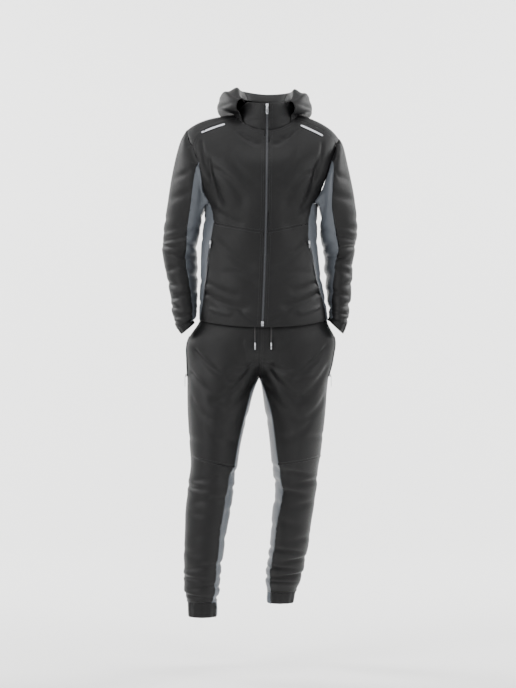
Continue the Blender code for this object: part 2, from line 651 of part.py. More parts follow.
def neck_chain(side):
    """Points of the neck seam from the zip to the centre back, as (grid, row, column)."""
    mid = BACK_COLS // 2
    if side > 0:
        return ([("front_1", -1, c) for c in range(FRONT_COLS)]
                + [("yoke_1", -1, c) for c in range(YOKE_COLS)]
                + [("back", -1, c) for c in range(mid + 1)])
    return ([("front_-1", -1, c) for c in range(FRONT_COLS, 0, -1)]
            + [("yoke_-1", -1, c) for c in range(YOKE_COLS, 0, -1)]
            + [("back", -1, c) for c in range(BACK_COLS, mid - 1, -1)])


def plan_angle(p):
    """Angle round the neck in plan: 0 at the front, positive towards the left side."""
    return math.degrees(math.atan2(p[0] - COLLAR_CENTRE[0], -(p[1] - COLLAR_CENTRE[1])))


def collar_top(angle, first_x):
    s, c = math.sin(math.radians(angle)), math.cos(math.radians(angle))
    x = COLLAR_CENTRE[0] + COLLAR_TOP[0] * s
    if abs(angle) < 20:
        blend = smooth_step(abs(angle) / 20)
        x = first_x * (1 - blend) + x * blend
    depth, z_end = (COLLAR_TOP[1], COLLAR_TOP_Z) if c > 0 else (COLLAR_TOP[2], COLLAR_TOP_Z_BACK)
    return np.array((x, COLLAR_CENTRE[1] - depth * c,
                     COLLAR_TOP_Z_SIDE + (z_end - COLLAR_TOP_Z_SIDE) * abs(c) ** 1.5))


def collar_grid(side):
    base = np.array([GRID[name][0][r, c] for name, r, c in neck_chain(side)])
    rows = []
    for share in COLLAR_SHARES:
        row = []
        for p in base:
            angle = plan_angle(p)
            top = collar_top(angle, p[0])
            out = np.array((math.sin(math.radians(angle)), -math.cos(math.radians(angle)), 0))
            row.append(p + (top - p) * share + out * COLLAR_BULGE * math.sin(math.pi * share))
        rows.append(row)
    points = np.array(rows)
    if side < 0:
        points = points[:, ::-1]
    return points, grid_normals(points, False)


COLLARS = {side: collar_grid(side) for side in (-1, 1)}
for r in range(len(COLLAR_SHARES)):
    shared = unit(COLLARS[1][1][r, -1] + COLLARS[-1][1][r, 0])
    COLLARS[1][1][r, -1] = COLLARS[-1][1][r, 0] = shared


# Front zip: one strip between the front edges from the hem to the collar's top
def zip_edges(k):
    """Front edges of the two halves from the hem to the collar's top: points (0) or normals (1)."""
    halves = []
    for side, front_col, collar_col in ((-1, -1, -1), (1, 0, 0)):
        front = GRID[f"front_{side}"][k][:, front_col]
        halves.append(np.concatenate([front, COLLARS[side][k][1:, collar_col]]))
    return np.stack(halves, axis=1)


zip_points, zip_normals = zip_edges(0), zip_edges(1)
for r in range(zip_normals.shape[0]):
    shared = unit(zip_normals[r].sum(axis=0))
    zip_normals[r] = shared
    if r < len(BODY_ROWS):
        GRID["front_-1"][1][r, -1] = GRID["front_1"][1][r, 0] = shared
    else:
        q = r - len(BODY_ROWS) + 1
        COLLARS[-1][1][q, -1] = COLLARS[1][1][q, 0] = shared


# Jacket pieces cut from the body grids
def body_piece(name, key, rows=slice(None), cols=slice(None), mat=BLACK_KNIT):
    points, normals = GRID[key]
    return cloth(name, points[rows, cols], normals[rows, cols], mat)


for side in (-1, 1):
    tag = SIDE_NAME[side]
    body_piece(f"jacket_front_lower_{tag}", f"front_{side}", slice(0, CHEST_SEAM + 1))
    body_piece(f"jacket_front_upper_{tag}", f"front_{side}", slice(CHEST_SEAM, None))
    body_piece(f"jacket_side_panel_{tag}", f"side_{side}", mat=GREY_KNIT)
    body_piece(f"jacket_yoke_{tag}", f"yoke_{side}")
    points, normals = SLEEVES[side]
    axis = unit(np.cross(points[-1, 0] - points[-1, 8], points[-1, 4] - points[-1, 12]))
    normals[-1] -= (normals[-1] @ axis)[:, None] * axis
    normals[-1] /= np.linalg.norm(normals[-1], axis=1, keepdims=True)
    total = BLACK_COLS + GREY_COLS
    black_cols = list(range(0, BLACK_COLS + 1))
    grey_cols = [c % total for c in range(BLACK_COLS, total + 1)]
    if side > 0:
        black_cols = [total - 1 - c for c in reversed(black_cols)]
        grey_cols = [total - 1 - c for c in reversed(grey_cols)]
    cloth(f"jacket_sleeve_{tag}", points[:, black_cols], normals[:, black_cols], BLACK_KNIT)
    cloth(f"jacket_sleeve_panel_{tag}", points[:, grey_cols], normals[:, grey_cols], GREY_KNIT)
body_piece("jacket_back", "back")
for side in (-1, 1):
    cloth(f"jacket_collar_{SIDE_NAME[side]}", *COLLARS[side], BLACK_KNIT)
cloth("jacket_front_zip", zip_points, zip_normals, ZIP_TAPE,
      edges=("first_col", "last_col"), wall=1.6)


# Hood, lying open behind the neck: plan angle from the front, then eight (radius, height) points
# from the neck seam out over the shoulder, up to the corner, and in to the edge by the collar
HOOD_SECTIONS = (
    (34, 78, -8, 79, -8, 82, -4, 84, 3, 82, 12, 80, 15, 77, 16, 74, 12),
    (60, 88, -8, 97, -9, 105, -5, 110, 9, 103, 30, 92, 33, 81, 39, 72, 24),
    (92, 93, 2, 112, 0, 131, 4, 129, 22, 115, 60, 98, 55, 76, 76, 67, 36),
    (132, 84, 8, 112, 0, 142, -22, 160, 4, 142, 64, 118, 57, 88, 73, 69, 38),
    (180, 73, 10, 114, -14, 134, -82, 166, -68, 156, 46, 122, 56, 92, 68, 68, 38),
)
HOOD_SIDE = {-1: (1.06, 3.0), 1: (0.95, -2.0)}        # scale and lift of each side as it lies
HOOD_STEPS = 10
HOOD_START = 6                                        # neck seam points left free at the front
HOOD_CENTRE_COLS = 4                                  # half of the centre panel, in points
HOOD_SEAT = 1.3                                       # height of the hood's edge over the seam


def hood_column(side, name, r, c):
    points, normals = GRID[name]
    seat = points[r, c] * 0.9 + points[r - 1, c] * 0.1 + normals[r, c] * HOOD_SEAT
    angle = abs(plan_angle(points[r, c]))
    scale, lift = HOOD_SIDE[side]
    fade = smooth_step(min(1.0, (180 - angle) / 40))
    scale, lift = 1 + (scale - 1) * fade, lift * fade
    profile = along(HOOD_SECTIONS, angle).reshape(-1, 2)
    keys = np.concatenate([np.arange(len(profile))[:, None], profile], axis=1)
    column = []
    for step in range(HOOD_STEPS + 1):
        radius, height = along(keys, step * (len(profile) - 1) / HOOD_STEPS)
        rad = math.radians(angle)
        column.append(np.array((COLLAR_CENTRE[0] + side * radius * scale * math.sin(rad),
                                COLLAR_CENTRE[1] - radius * scale * math.cos(rad),
                                height + lift)))
    column[0] = seat
    return column


def hood_grid():
    right = [hood_column(-1, *place) for place in neck_chain(-1)[HOOD_START:]]
    left = [hood_column(1, *place) for place in neck_chain(1)[HOOD_START:-1]]
    points = np.array(left + right[::-1]).transpose(1, 0, 2)
    return points, grid_normals(points, False), len(left)


hood_points, hood_normals, hood_middle = hood_grid()
first, last = hood_middle - HOOD_CENTRE_COLS, hood_middle + HOOD_CENTRE_COLS
for name, cols in (("jacket_hood_side_L", slice(0, first + 1)),
                   ("jacket_hood_centre", slice(first, last + 1)),
                   ("jacket_hood_side_R", slice(last, None))):
    cloth(name, hood_points[:, cols], hood_normals[:, cols], BLACK_KNIT)


# Things that lie on the cloth are set out from the faces under them
def surface_tree(names):
    vertices, faces = [], []
    for name in names:
        own, skin = OUTER[name]
        start = len(vertices)
        vertices += [Vector(v) for v in own]
        faces += [tuple(i + start for i in face) for face in skin]
    return BVHTree.FromPolygons(vertices, faces)


def seen_from_front(tree, x, z):
    hit, normal, _, _ = tree.ray_cast(Vector((x, -1000, z)), Vector((0, 1, 0)))
    return np.array(hit), np.array(normal)


TAPE_WALL = 1.0
TAPE_SEAT = 0.5                # under side of a strip above the facets that it lies on
STRIP_HALF = 4.0
STRIP_STEPS = 8
# x, z of the inner and outer ends of each reflective strip
STRIP_ENDS = {-1: (-173, -62, -109, -32), 1: (102, -36, 162, -71)}


def reflective_strip(side):
    tree = surface_tree([f"jacket_yoke_{SIDE_NAME[side]}",
                         f"jacket_front_upper_{SIDE_NAME[side]}"])
    x1, z1, x2, z2 = STRIP_ENDS[side]
    length = math.hypot(x2 - x1, z2 - z1)
    along_x, along_z = (x2 - x1) / length, (z2 - z1) / length
    points, normals = [], []
    for across in (-STRIP_HALF, 0, STRIP_HALF):
        row = [seen_from_front(tree, x1 + along_x * s * length - along_z * across,
                               z1 + along_z * s * length + along_x * across)
               for s in np.linspace(0, 1, STRIP_STEPS + 1)]
        points.append([hit for hit, _ in row])
        normals.append([normal for _, normal in row])
    mean = unit(np.array(normals).reshape(-1, 3).mean(axis=0))
    normals = np.broadcast_to(mean, np.array(points).shape)
    cloth(f"jacket_reflective_strip_{SIDE_NAME[side]}", points, normals, REFLECTIVE, edges=(),
          wall=TAPE_WALL, lift=TAPE_SEAT + TAPE_WALL + 0.4)


ZIP_WALL = 1.2
ZIP_SEAT = 0.9                 # the panels round away more steeply under the pocket zips
# first row, last row, share of the first panel column at the seam side and at the inner side
JACKET_POCKET = (2, 6, 0.05, 0.42)
JOGGER_POCKET = (4, 10, 0.08, 0.30)


def pocket_zip(name, side, points, normals, seam_col, next_col, place):
    first, last, near, far = place
    shares = (near, far)
    rows, faces_out = [], []
    for r in range(first, last + 1):
        a, b = points[r, seam_col], points[r, next_col]
        n = unit(normals[r, seam_col] + normals[r, next_col])
        rows.append([a + (b - a) * s for s in shares])
        faces_out.append([n, n])
    rows, faces_out = np.array(rows), np.array(faces_out)
    across = rows[0, 1] - rows[0, 0]
    up = rows[1, 0] - rows[0, 0]
    if np.cross(across, up) @ faces_out[0, 0] < 0:
        rows, faces_out = rows[:, ::-1], faces_out[:, ::-1]
    cloth(f"{name}_{SIDE_NAME[side]}", rows, faces_out, ZIP_TAPE, edges=(), wall=ZIP_WALL,
          lift=ZIP_SEAT + ZIP_WALL)
    return rows, faces_out


def block(name, centre, size, across, out, mat, bevel=0.4):
    """Small bevelled block; its width runs along across, its thickness along out."""
    up = np.cross(across, out)
    bpy.ops.mesh.primitive_cube_add(size=0.001)
    obj = bpy.context.object
    for collection in list(obj.users_collection):
        collection.objects.unlink(obj)
    garment.objects.link(obj)
    obj.name = obj.data.name = name
    for vertex in obj.data.vertices:
        x, y, z = (c * 1000 * s for c, s in zip(vertex.co, size))
        vertex.co = Vector((across * x + out * y + up * z) * 0.001)
    obj.location = Vector(centre * 0.001)
    obj.data.materials.append(mat)
    edge = obj.modifiers.new("edge", "BEVEL")
    edge.width = bevel * 0.001
    edge.segments = 1
    return obj


SLIDER_SEAT = 0.35
PULL_THICK = 1.2
PULL_RISE = 0.6               # of the tab above its hinge axis


def slider_and_pull(name, on, n, slider_size, pull_size):
    """Slider on a zip and its hanging tab. Sizes are width, thickness, height."""
    out = unit(np.array((n[0], n[1], 0.0)))
    across = unit(np.cross(out, (0, 0, 1)))
    centre = on + out * (SLIDER_SEAT + slider_size[1] / 2)
    block(f"{name}_slider", centre, slider_size, across, out, ZIP_METAL)
    axis = on + out * (SLIDER_SEAT * 2 + slider_size[1] + PULL_THICK / 2)
    axis[2] = centre[2] - slider_size[2] / 4
    drop = np.array((0, 0, PULL_RISE - pull_size[2] / 2))
    block(f"{name}_pull", axis + drop, (pull_size[0], PULL_THICK, pull_size[2]), across, out,
          ZIP_METAL, bevel=0.3)


for side in (-1, 1):
    tag = SIDE_NAME[side]
    reflective_strip(side)
    points, normals = GRID[f"front_{side}"]
    cols = (-1, -2) if side > 0 else (0, 1)
    rows, out = pocket_zip("jacket_pocket_zip", side, points, normals, *cols, JACKET_POCKET)
    seat = rows[-1].mean(axis=0) * 0.85 + rows[-2].mean(axis=0) * 0.15
    seat = seat + out[-1, 0] * (ZIP_SEAT + ZIP_WALL + 0.5)
    slider_and_pull(f"jacket_pocket_{tag}", seat, out[-1, 0], (5.5, 3, 8), (4, 0, 15))
    black, n_black = LEGS[side][:2]
    rows, out = pocket_zip("jogger_pocket_zip", side, black, n_black, LEG_HALF_COLS,
                           LEG_HALF_COLS - 1, JOGGER_POCKET)
    seat = rows[-1].mean(axis=0) * 0.6 + rows[-2].mean(axis=0) * 0.4
    seat = seat + out[-1, 0] * (ZIP_SEAT + ZIP_WALL + 0.75)
    slider_and_pull(f"jogger_pocket_{tag}", seat, out[-1, 0], (5.5, 3, 8), (4, 0, 30))

# Front zip: slider at the collar's top, its tab, and the box at the hem
FRONT_SLIDER_Z, FRONT_BOX_Z = 12, -590
zip_tree = surface_tree(["jacket_front_zip"])
for name, z in (("slider", FRONT_SLIDER_Z), ("box", FRONT_BOX_Z)):
    zip_x = (zip_points[-1, :, 0].mean() if z > 0 else zip_points[0, :, 0].mean())
    on, n = seen_from_front(zip_tree, zip_x, z)
    if name == "slider":
        slider_and_pull("jacket_front", on - np.array((0, 1.8, 0)), n, (8, 3.5, 11), (6, 0, 22))
    else:
        block("jacket_zip_box", on + np.array((0, -0.8 - 1.5, 0)), (7.5, 3, 14),
              np.array((1.0, 0, 0)), np.array((0, -1.0, 0)), ZIP_METAL)

# Drawstring: two free ends from the waistband's eyelets down under the jacket's hem
CORD_RADIUS = 1.9
CORD_X = {-1: -25, 1: 19}
CORD_TOP_Z, CORD_END_Z, CORD_STEPS = -512, -641, 12
TIP_LENGTH, TIP_RADIUS = 19, 2.3
jogger_tree = surface_tree(["jogger_front_upper_R", "jogger_front_upper_L", "jogger_waistband"])
for side in (-1, 1):
    levels = np.linspace(CORD_TOP_Z, CORD_END_Z, CORD_STEPS)
    seats = [seen_from_front(jogger_tree, CORD_X[side], z)[0][1] for z in levels]
    lie = min(s for s in seats[-4:])
    line = []
    for k, z in enumerate(levels):
        near = min(seats[max(k - 1, 0):k + 2])
        y = (near if z > levels[-4] else lie) - CORD_RADIUS - 0.6
        line.append((CORD_X[side], y, z))
    curve = bpy.data.curves.new(f"jogger_drawstring_{SIDE_NAME[side]}", "CURVE")
    curve.dimensions = "3D"
    curve.bevel_depth = CORD_RADIUS * 0.001
    curve.bevel_resolution = 2
    curve.use_fill_caps = True
    spline = curve.splines.new("POLY")
    spline.points.add(len(line) - 1)
    for point, place in zip(spline.points, line):
        point.co = (*(c * 0.001 for c in place), 1)
    curve.materials.append(CORD_COTTON)
    cord = bpy.data.objects.new(curve.name, curve)
    garment.objects.link(cord)
    bpy.ops.mesh.primitive_cylinder_add(
        vertices=12, radius=TIP_RADIUS * 0.001, depth=TIP_LENGTH * 0.001,
        location=Vector(line[-1]) * 0.001 - Vector((0, 0, TIP_LENGTH / 2 + 0.3)) * 0.001)
    tip = bpy.context.object
    for collection in list(tip.users_collection):
        collection.objects.unlink(tip)
    garment.objects.link(tip)
    tip.name = tip.data.name = f"jogger_drawstring_tip_{SIDE_NAME[side]}"
    tip.data.materials.append(ZIP_METAL)
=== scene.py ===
"""Tracksuit as worn: finish of a hooded zip jacket and joggers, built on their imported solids.

Lengths are in metres, and in millimetres where a name ends in _MM or a table says so.
+Z is up, the front faces -Y, and the origin lies between the shoulder points.
"""
import math

import bmesh
import bpy
import numpy as np
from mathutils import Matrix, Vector
from mathutils.bvhtree import BVHTree
from mathutils.kdtree import KDTree


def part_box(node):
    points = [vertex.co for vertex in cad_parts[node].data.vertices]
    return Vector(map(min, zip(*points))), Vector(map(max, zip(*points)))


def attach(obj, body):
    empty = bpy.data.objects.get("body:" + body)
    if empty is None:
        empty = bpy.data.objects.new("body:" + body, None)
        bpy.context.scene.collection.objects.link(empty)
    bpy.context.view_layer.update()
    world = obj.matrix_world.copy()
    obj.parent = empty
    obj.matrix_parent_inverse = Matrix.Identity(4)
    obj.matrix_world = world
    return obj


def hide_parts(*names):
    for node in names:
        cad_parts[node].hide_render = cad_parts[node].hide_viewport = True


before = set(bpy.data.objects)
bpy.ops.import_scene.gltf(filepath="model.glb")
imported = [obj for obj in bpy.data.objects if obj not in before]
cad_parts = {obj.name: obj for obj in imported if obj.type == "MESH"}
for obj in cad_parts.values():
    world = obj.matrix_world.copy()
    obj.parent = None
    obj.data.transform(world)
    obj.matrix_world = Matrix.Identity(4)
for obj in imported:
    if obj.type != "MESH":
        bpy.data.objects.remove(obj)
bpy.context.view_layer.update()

bpy.ops.object.select_all(action="DESELECT")

# Camera: stands level in front of the wearer's chest, far enough off that both ankles keep
# their size, with the long side of the picture upright
CAMERA_PLACE = (-0.017, -5.0, -0.645)
HALF_HEIGHT_SEEN = 0.956           # of the picture, in the plane of the chest
SENSOR = 36.0
camera_data = bpy.data.cameras.new("camera")
camera_data.sensor_width = SENSOR
camera_data.lens = SENSOR / 2 * -CAMERA_PLACE[1] / HALF_HEIGHT_SEEN
camera = bpy.data.objects.new("camera", camera_data)
camera.location = CAMERA_PLACE
camera.rotation_euler = (math.radians(90), 0, 0)
bpy.context.scene.collection.objects.link(camera)
bpy.context.scene.camera = camera


# Drawstring: the two free ends of one round braided cord of black cotton, 3.8 mm thick, that
# leave the waistband under the jacket's hem and hang in front of the fly, each with a metal tip
def srgb(code):
    """A colour written as sRGB hex, as linear red, green, blue and alpha."""
    parts = [int(code[k:k + 2], 16) / 255 for k in (0, 2, 4)]
    return (*[c / 12.92 if c <= 0.04045 else ((c + 0.055) / 1.055) ** 2.4 for c in parts], 1.0)


def add_node(tree, kind, inputs=None, links=None, **settings):
    """Adds a node; inputs are socket values, links are the sockets that feed its inputs."""
    node = tree.nodes.new(kind)
    for key, value in settings.items():
        setattr(node, key, value)
    for key, value in (inputs or {}).items():
        node.inputs[key].default_value = value
    for key, socket in (links or {}).items():
        tree.links.new(socket, node.inputs[key])
    return node


def new_material(name, **inputs):
    """A material with these values on its Principled shader; returns it, its tree and the shader."""
    mat = bpy.data.materials.new(name)
    mat.use_nodes = True
    shader = mat.node_tree.nodes["Principled BSDF"]
    for key, value in inputs.items():
        shader.inputs[key.replace("_", " ")].default_value = value
    return mat, mat.node_tree, shader


MIX_A, MIX_B, MIX_OUT = 6, 7, 2    # a colour mix's sockets, whose names its other kinds share


def braided_cotton():
    """Black cotton braid: matt, with the strands' crossings as diagonal ribs 1.6 mm apart, and painted shade
    darkening their hollows and lightening their crests.
    """
    mat, tree, shader = new_material("braided_cotton", Base_Color=srgb("1a1a1b"), Roughness=0.85,
                                     Sheen_Weight=0.2)
    place = add_node(tree, "ShaderNodeTexCoord").outputs["Object"]
    waves = []
    for tilt in (35, -35):
        turned = add_node(tree, "ShaderNodeMapping", {"Rotation": (0, math.radians(tilt), 0)},
                          {"Vector": place})
        waves.append(add_node(tree, "ShaderNodeTexWave", {"Scale": 200.0},
                              {"Vector": turned.outputs[0]}, bands_direction="Z").outputs["Fac"])
    both = add_node(tree, "ShaderNodeMath", links={0: waves[0], 1: waves[1]}, operation="MULTIPLY")
    bump = add_node(tree, "ShaderNodeBump", {"Strength": 0.6, "Distance": 0.0006},
                    {"Height": both.outputs[0]})
    tree.links.new(bump.outputs[0], shader.inputs["Normal"])
    # painted shade: the colour is darkened in the ribs' hollows and lightened on their crests, following the
    # bump
    tone = add_node(tree, "ShaderNodeMapRange", {"To Min": 0.6, "To Max": 1.3},
                    {"Value": both.outputs[0]})
    shade = add_node(tree, "ShaderNodeMix", {0: 1.0, MIX_A: srgb("1a1a1b")},
                     {MIX_B: tone.outputs[0]}, data_type="RGBA", blend_type="MULTIPLY")
    tree.links.new(shade.outputs[MIX_OUT], shader.inputs["Base Color"])
    return mat


def plated_zinc():
    """Cast zinc with a satin silver plating, tumbled: soft reflections and faint wear."""
    mat, tree, shader = new_material("plated_zinc", Base_Color=srgb("b4b6ba"), Metallic=1.0,
                                     Roughness=0.3)
    place = add_node(tree, "ShaderNodeTexCoord").outputs["Object"]
    grain = add_node(tree, "ShaderNodeTexNoise", {"Scale": 600.0, "Detail": 4.0},
                     {"Vector": place})
    rough = add_node(tree, "ShaderNodeMapRange", {"To Min": 0.22, "To Max": 0.42},
                     {"Value": grain.outputs["Fac"]})
    tree.links.new(rough.outputs[0], shader.inputs["Roughness"])
    bump = add_node(tree, "ShaderNodeBump", {"Strength": 0.15, "Distance": 0.0002},
                    {"Height": grain.outputs["Fac"]})
    tree.links.new(bump.outputs[0], shader.inputs["Normal"])
    return mat


def keep(obj, body, slot, *nodes):
    """Fixes a finished piece to its body and hides the solids it stands for; the slot is not used."""
    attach(obj, body)
    if nodes:
        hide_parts(*nodes)
    return obj


BRAID, ZINC = braided_cotton(), plated_zinc()
CORD_RADIUS = 0.0019
CORD_X = {"R": -0.025, "L": 0.019}
# height and depth of the line, in millimetres: down over the waistband, then hanging free
CORD_LINE_MM = {
    "R": ((-512, -93.9), (-523.7, -94.4), (-535.5, -96.1), (-547.2, -97.8), (-558.9, -100.5),
          (-570.6, -103.2), (-582.4, -106.0), (-594.1, -107.0), (-605.8, -107.1), (-617.5, -107.1),
          (-629.3, -107.1), (-641, -107.1)),
    "L": ((-512, -92.6), (-523.7, -93.4), (-535.5, -95.0), (-547.2, -96.8), (-558.9, -99.4),
          (-570.6, -102.1), (-582.4, -104.9), (-594.1, -105.8), (-605.8, -106.3), (-617.5, -106.3),
          (-629.3, -106.3), (-641, -106.3)),
}
TIP_LENGTH, TIP_RADIUS = 0.019, 0.0023
for tag, line in CORD_LINE_MM.items():
    points = [Vector((CORD_X[tag], y / 1000, z / 1000)) for z, y in line]
    length = sum((b - a).length for a, b in zip(points, points[1:]))
    curve = bpy.data.curves.new(f"drawstring_{tag}", "CURVE")
    curve.dimensions = "3D"
    curve.bevel_depth = CORD_RADIUS
    curve.bevel_resolution = 4
    curve.use_fill_caps = True
    spline = curve.splines.new("POLY")
    spline.points.add(len(points) - 1)
    for knot, place in zip(spline.points, points):
        knot.co = (*place, 1)
    curve.materials.append(BRAID)
    drawstring = bpy.data.objects.new(f"drawstring_{tag}", curve)
    bpy.context.scene.collection.objects.link(drawstring)
    keep(drawstring, "garment", "cord_cotton", f"jogger_drawstring_{tag}")
    top = points[-1] - Vector((0, 0, 0.0003))
    # turned profile of the tip: crimped collar, plain barrel and rounded end (radius, depth)
    profile = [(0.0012, 0), (1.0, 0), (1.0, 0.05), (0.86, 0.08), (1.0, 0.11), (0.86, 0.15),
               (1.0, 0.19), (0.97, 0.5), (0.95, 0.9), (0.8, 0.97), (0.4, 1.0), (0.0012, 1.0)]
    mesh = bpy.data.meshes.new(f"drawstring_tip_{tag}")
    sides = 20
    ring = [(math.cos(2 * math.pi * k / sides), math.sin(2 * math.pi * k / sides))
            for k in range(sides)]
    vertices = [(top.x + TIP_RADIUS * r * c, top.y + TIP_RADIUS * r * s, top.z - TIP_LENGTH * d)
                for r, d in profile for c, s in ring]
    faces = [(i * sides + k, (i + 1) * sides + k, (i + 1) * sides + (k + 1) % sides,
              i * sides + (k + 1) % sides) for i in range(len(profile) - 1) for k in range(sides)]
    faces.append(tuple(range(sides)))
    faces.append(tuple((len(profile) - 1) * sides + k for k in reversed(range(sides))))
    mesh.from_pydata(vertices, [], faces)
    mesh.materials.append(ZINC)
    tip = bpy.data.objects.new(mesh.name, mesh)
    bpy.context.scene.collection.objects.link(tip)
    mesh.shade_smooth()
    keep(tip, "garment", "zip_metal", f"jogger_drawstring_tip_{tag}")


# Cut pieces of the jacket and joggers: satin-faced polyester knit, brushed inside, 1.8 mm thick.
# Each is cut flat, overlocked to its neighbours and turned, so its edges roll into the seams.
# Where the wearer bends or the cloth is spare it breaks into soft creases.
def knit_cloth(name, colour, light, dark, roughness, sheen):
    """Satin-faced knit: fine ribs across the face with painted shade in their hollows, soft uneven lustre, a
    slight nap at grazing.
    """
    mat, tree, shader = new_material(name, Base_Color=srgb(colour), Roughness=roughness,
                                     Sheen_Weight=sheen, Sheen_Roughness=0.45,
                                     Specular_IOR_Level=0.22)
    place = add_node(tree, "ShaderNodeTexCoord").outputs["Object"]
    cloud = add_node(tree, "ShaderNodeTexNoise", {"Scale": 9.0, "Detail": 5.0, "Roughness": 0.6},
                     {"Vector": place})
    tone = add_node(tree, "ShaderNodeMix", {MIX_A: srgb(dark), MIX_B: srgb(light)},
                    {0: cloud.outputs["Fac"]}, data_type="RGBA")
    # knit ribs, drawn 1.8 mm apart where the real ones are 0.8 mm, so that they show
    ribs = add_node(tree, "ShaderNodeTexWave", {"Scale": 175.0, "Distortion": 0.6,
                                                "Detail": 1.0, "Detail Scale": 2.0},
                    {"Vector": place}, bands_direction="X")
    rows = add_node(tree, "ShaderNodeTexWave", {"Scale": 240.0, "Distortion": 0.5},
                    {"Vector": place}, bands_direction="Z")
    loops = add_node(tree, "ShaderNodeMath", links={0: ribs.outputs["Fac"], 1: rows.outputs["Fac"]},
                     operation="MULTIPLY")
    # painted shade: the colour is darkened between the knit loops and lightened on them, following the bump
    loop_shade = add_node(tree, "ShaderNodeMapRange", {"To Min": 0.82, "To Max": 1.15},
                     {"Value": loops.outputs[0]})
    face = add_node(tree, "ShaderNodeMix", {0: 1.0}, {MIX_A: tone.outputs[MIX_OUT],
                    MIX_B: loop_shade.outputs[0]}, data_type="RGBA", blend_type="MULTIPLY")
    tree.links.new(face.outputs[MIX_OUT], shader.inputs["Base Color"])
    gloss = add_node(tree, "ShaderNodeMapRange", {"To Min": roughness - 0.06,
                                                  "To Max": roughness + 0.08},
                     {"Value": cloud.outputs["Fac"]})
    tree.links.new(gloss.outputs[0], shader.inputs["Roughness"])
    soft = add_node(tree, "ShaderNodeTexNoise", {"Scale": 55.0, "Detail": 3.0}, {"Vector": place})
    handle = add_node(tree, "ShaderNodeBump", {"Strength": 0.25, "Distance": 0.0012},
                      {"Height": soft.outputs["Fac"]})
    weave = add_node(tree, "ShaderNodeBump", {"Strength": 0.35, "Distance": 0.0004},
                     {"Height": loops.outputs[0], "Normal": handle.outputs[0]})
    tree.links.new(weave.outputs[0], shader.inputs["Normal"])
    return mat


BLACK = knit_cloth("black_satin_knit", "070708", "09090a", "050506", 0.50, 0.0)
GREY = knit_cloth("grey_satin_knit", "4a4e53", "52565c", "43474c", 0.40, 0.03)

RIM_EDGE = 0.0023                  # the rim's faces of a packed wall have an edge this short
WALL = 0.0017
SEAM_ROLL, SEAM_ROLL_WIDTH = 0.0011, 0.0026
SHEETS = {}                        # outer face of each finished sheet: points and triangles


def outer_face(node):
    """The outer side of a packed wall as an open sheet of mostly four-sided faces."""
    sheet = bmesh.new()
    sheet.from_mesh(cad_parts[node].data)
    bmesh.ops.remove_doubles(sheet, verts=sheet.verts, dist=2e-5)
    rim = [f for f in sheet.faces if min(e.calc_length() for e in f.edges) < RIM_EDGE]
    bmesh.ops.delete(sheet, geom=rim, context="FACES")
    groups, seen = [], set()
    for start in sheet.faces:
        if start in seen:
            continue
        group, queue = [], [start]
        seen.add(start)
        while queue:
            face = queue.pop()
            group.append(face)
            for edge in face.edges:
                for other in edge.link_faces:
                    if other not in seen:
                        seen.add(other)
                        queue.append(other)
        groups.append(group)
    groups.sort(key=lambda g: sum(f.calc_area() for f in g))
    for group in groups[:-1]:
        bmesh.ops.delete(sheet, geom=group, context="FACES")
    bmesh.ops.join_triangles(sheet, faces=sheet.faces, angle_face_threshold=math.pi,
                             angle_shape_threshold=math.pi)
    return sheet


def crease_shape(off):
    """Across a crease: a soft trough with a low swell on either side."""
    return (1 - 0.55 * off**2) * np.exp(-off**2)


def crease_depth(creases, places, normals):
    """Depth at each point. A long crease runs (x1, z1, x2, z2, width, depth, bow, side) and a
    wrapping one (z, bearing, reach, width, depth, tilt), in millimetres and degrees."""
    total = np.zeros(len(places))
    x, z = places[:, 0] * 1000, places[:, 2] * 1000
    bearing = np.degrees(np.arctan2(normals[:, 0], -normals[:, 1]))
    for crease in creases:
        if len(crease) == 8:
            x1, z1, x2, z2, width, depth, bow, side = crease
            facing = np.clip(side * normals[:, 1] * 2.5, 0, 1)
            run = math.hypot(x2 - x1, z2 - z1)
            f = ((x - x1) * (x2 - x1) + (z - z1) * (z2 - z1)) / run**2
            off = ((x - x1) * (z2 - z1) - (z - z1) * (x2 - x1)) / run
            off = (off - bow * (1 - (2 * f - 1)**2)) / (width * (0.75 + 0.5 * np.clip(f, 0, 1)))
            beyond = np.maximum(0, np.maximum(-f, f - 1)) * run / (1.3 * width)
            total += facing * depth * crease_shape(off) * np.exp(-beyond**2)
        else:
            height, middle, reach, width, depth, tilt = crease
            turn = (bearing - middle + 180) % 360 - 180
            fade = np.where(np.abs(turn) < reach, np.cos(np.pi / 2 * turn / reach)**2, 0)
            off = (z - height - tilt * turn / 90) / width
            total += fade * depth * crease_shape(off)
    return total / 1000


def sheet_arrays(obj):
    """Points and unit normals of an object's mesh."""
    count = len(obj.data.vertices)
    places, normals = np.zeros(count * 3), np.zeros(count * 3)
    obj.data.vertices.foreach_get("co", places)
    obj.data.vertices.foreach_get("normal", normals)
    return places.reshape(-1, 3), normals.reshape(-1, 3)


def apply_modifier(obj, name, kind, **settings):
    modifier = obj.modifiers.new(name, kind)
    for key, value in settings.items():
        setattr(modifier, key, value)
    bpy.context.view_layer.objects.active = obj
    bpy.ops.object.modifier_apply(modifier=modifier.name)


SEW_REACH, SEW_EASE = 0.0076, 0.012
SEAM_LINES = {}                    # points about a millimetre apart along finished edges, by garment
FORK_X = -0.0125                   # the joggers' seam from the waist down to the fork


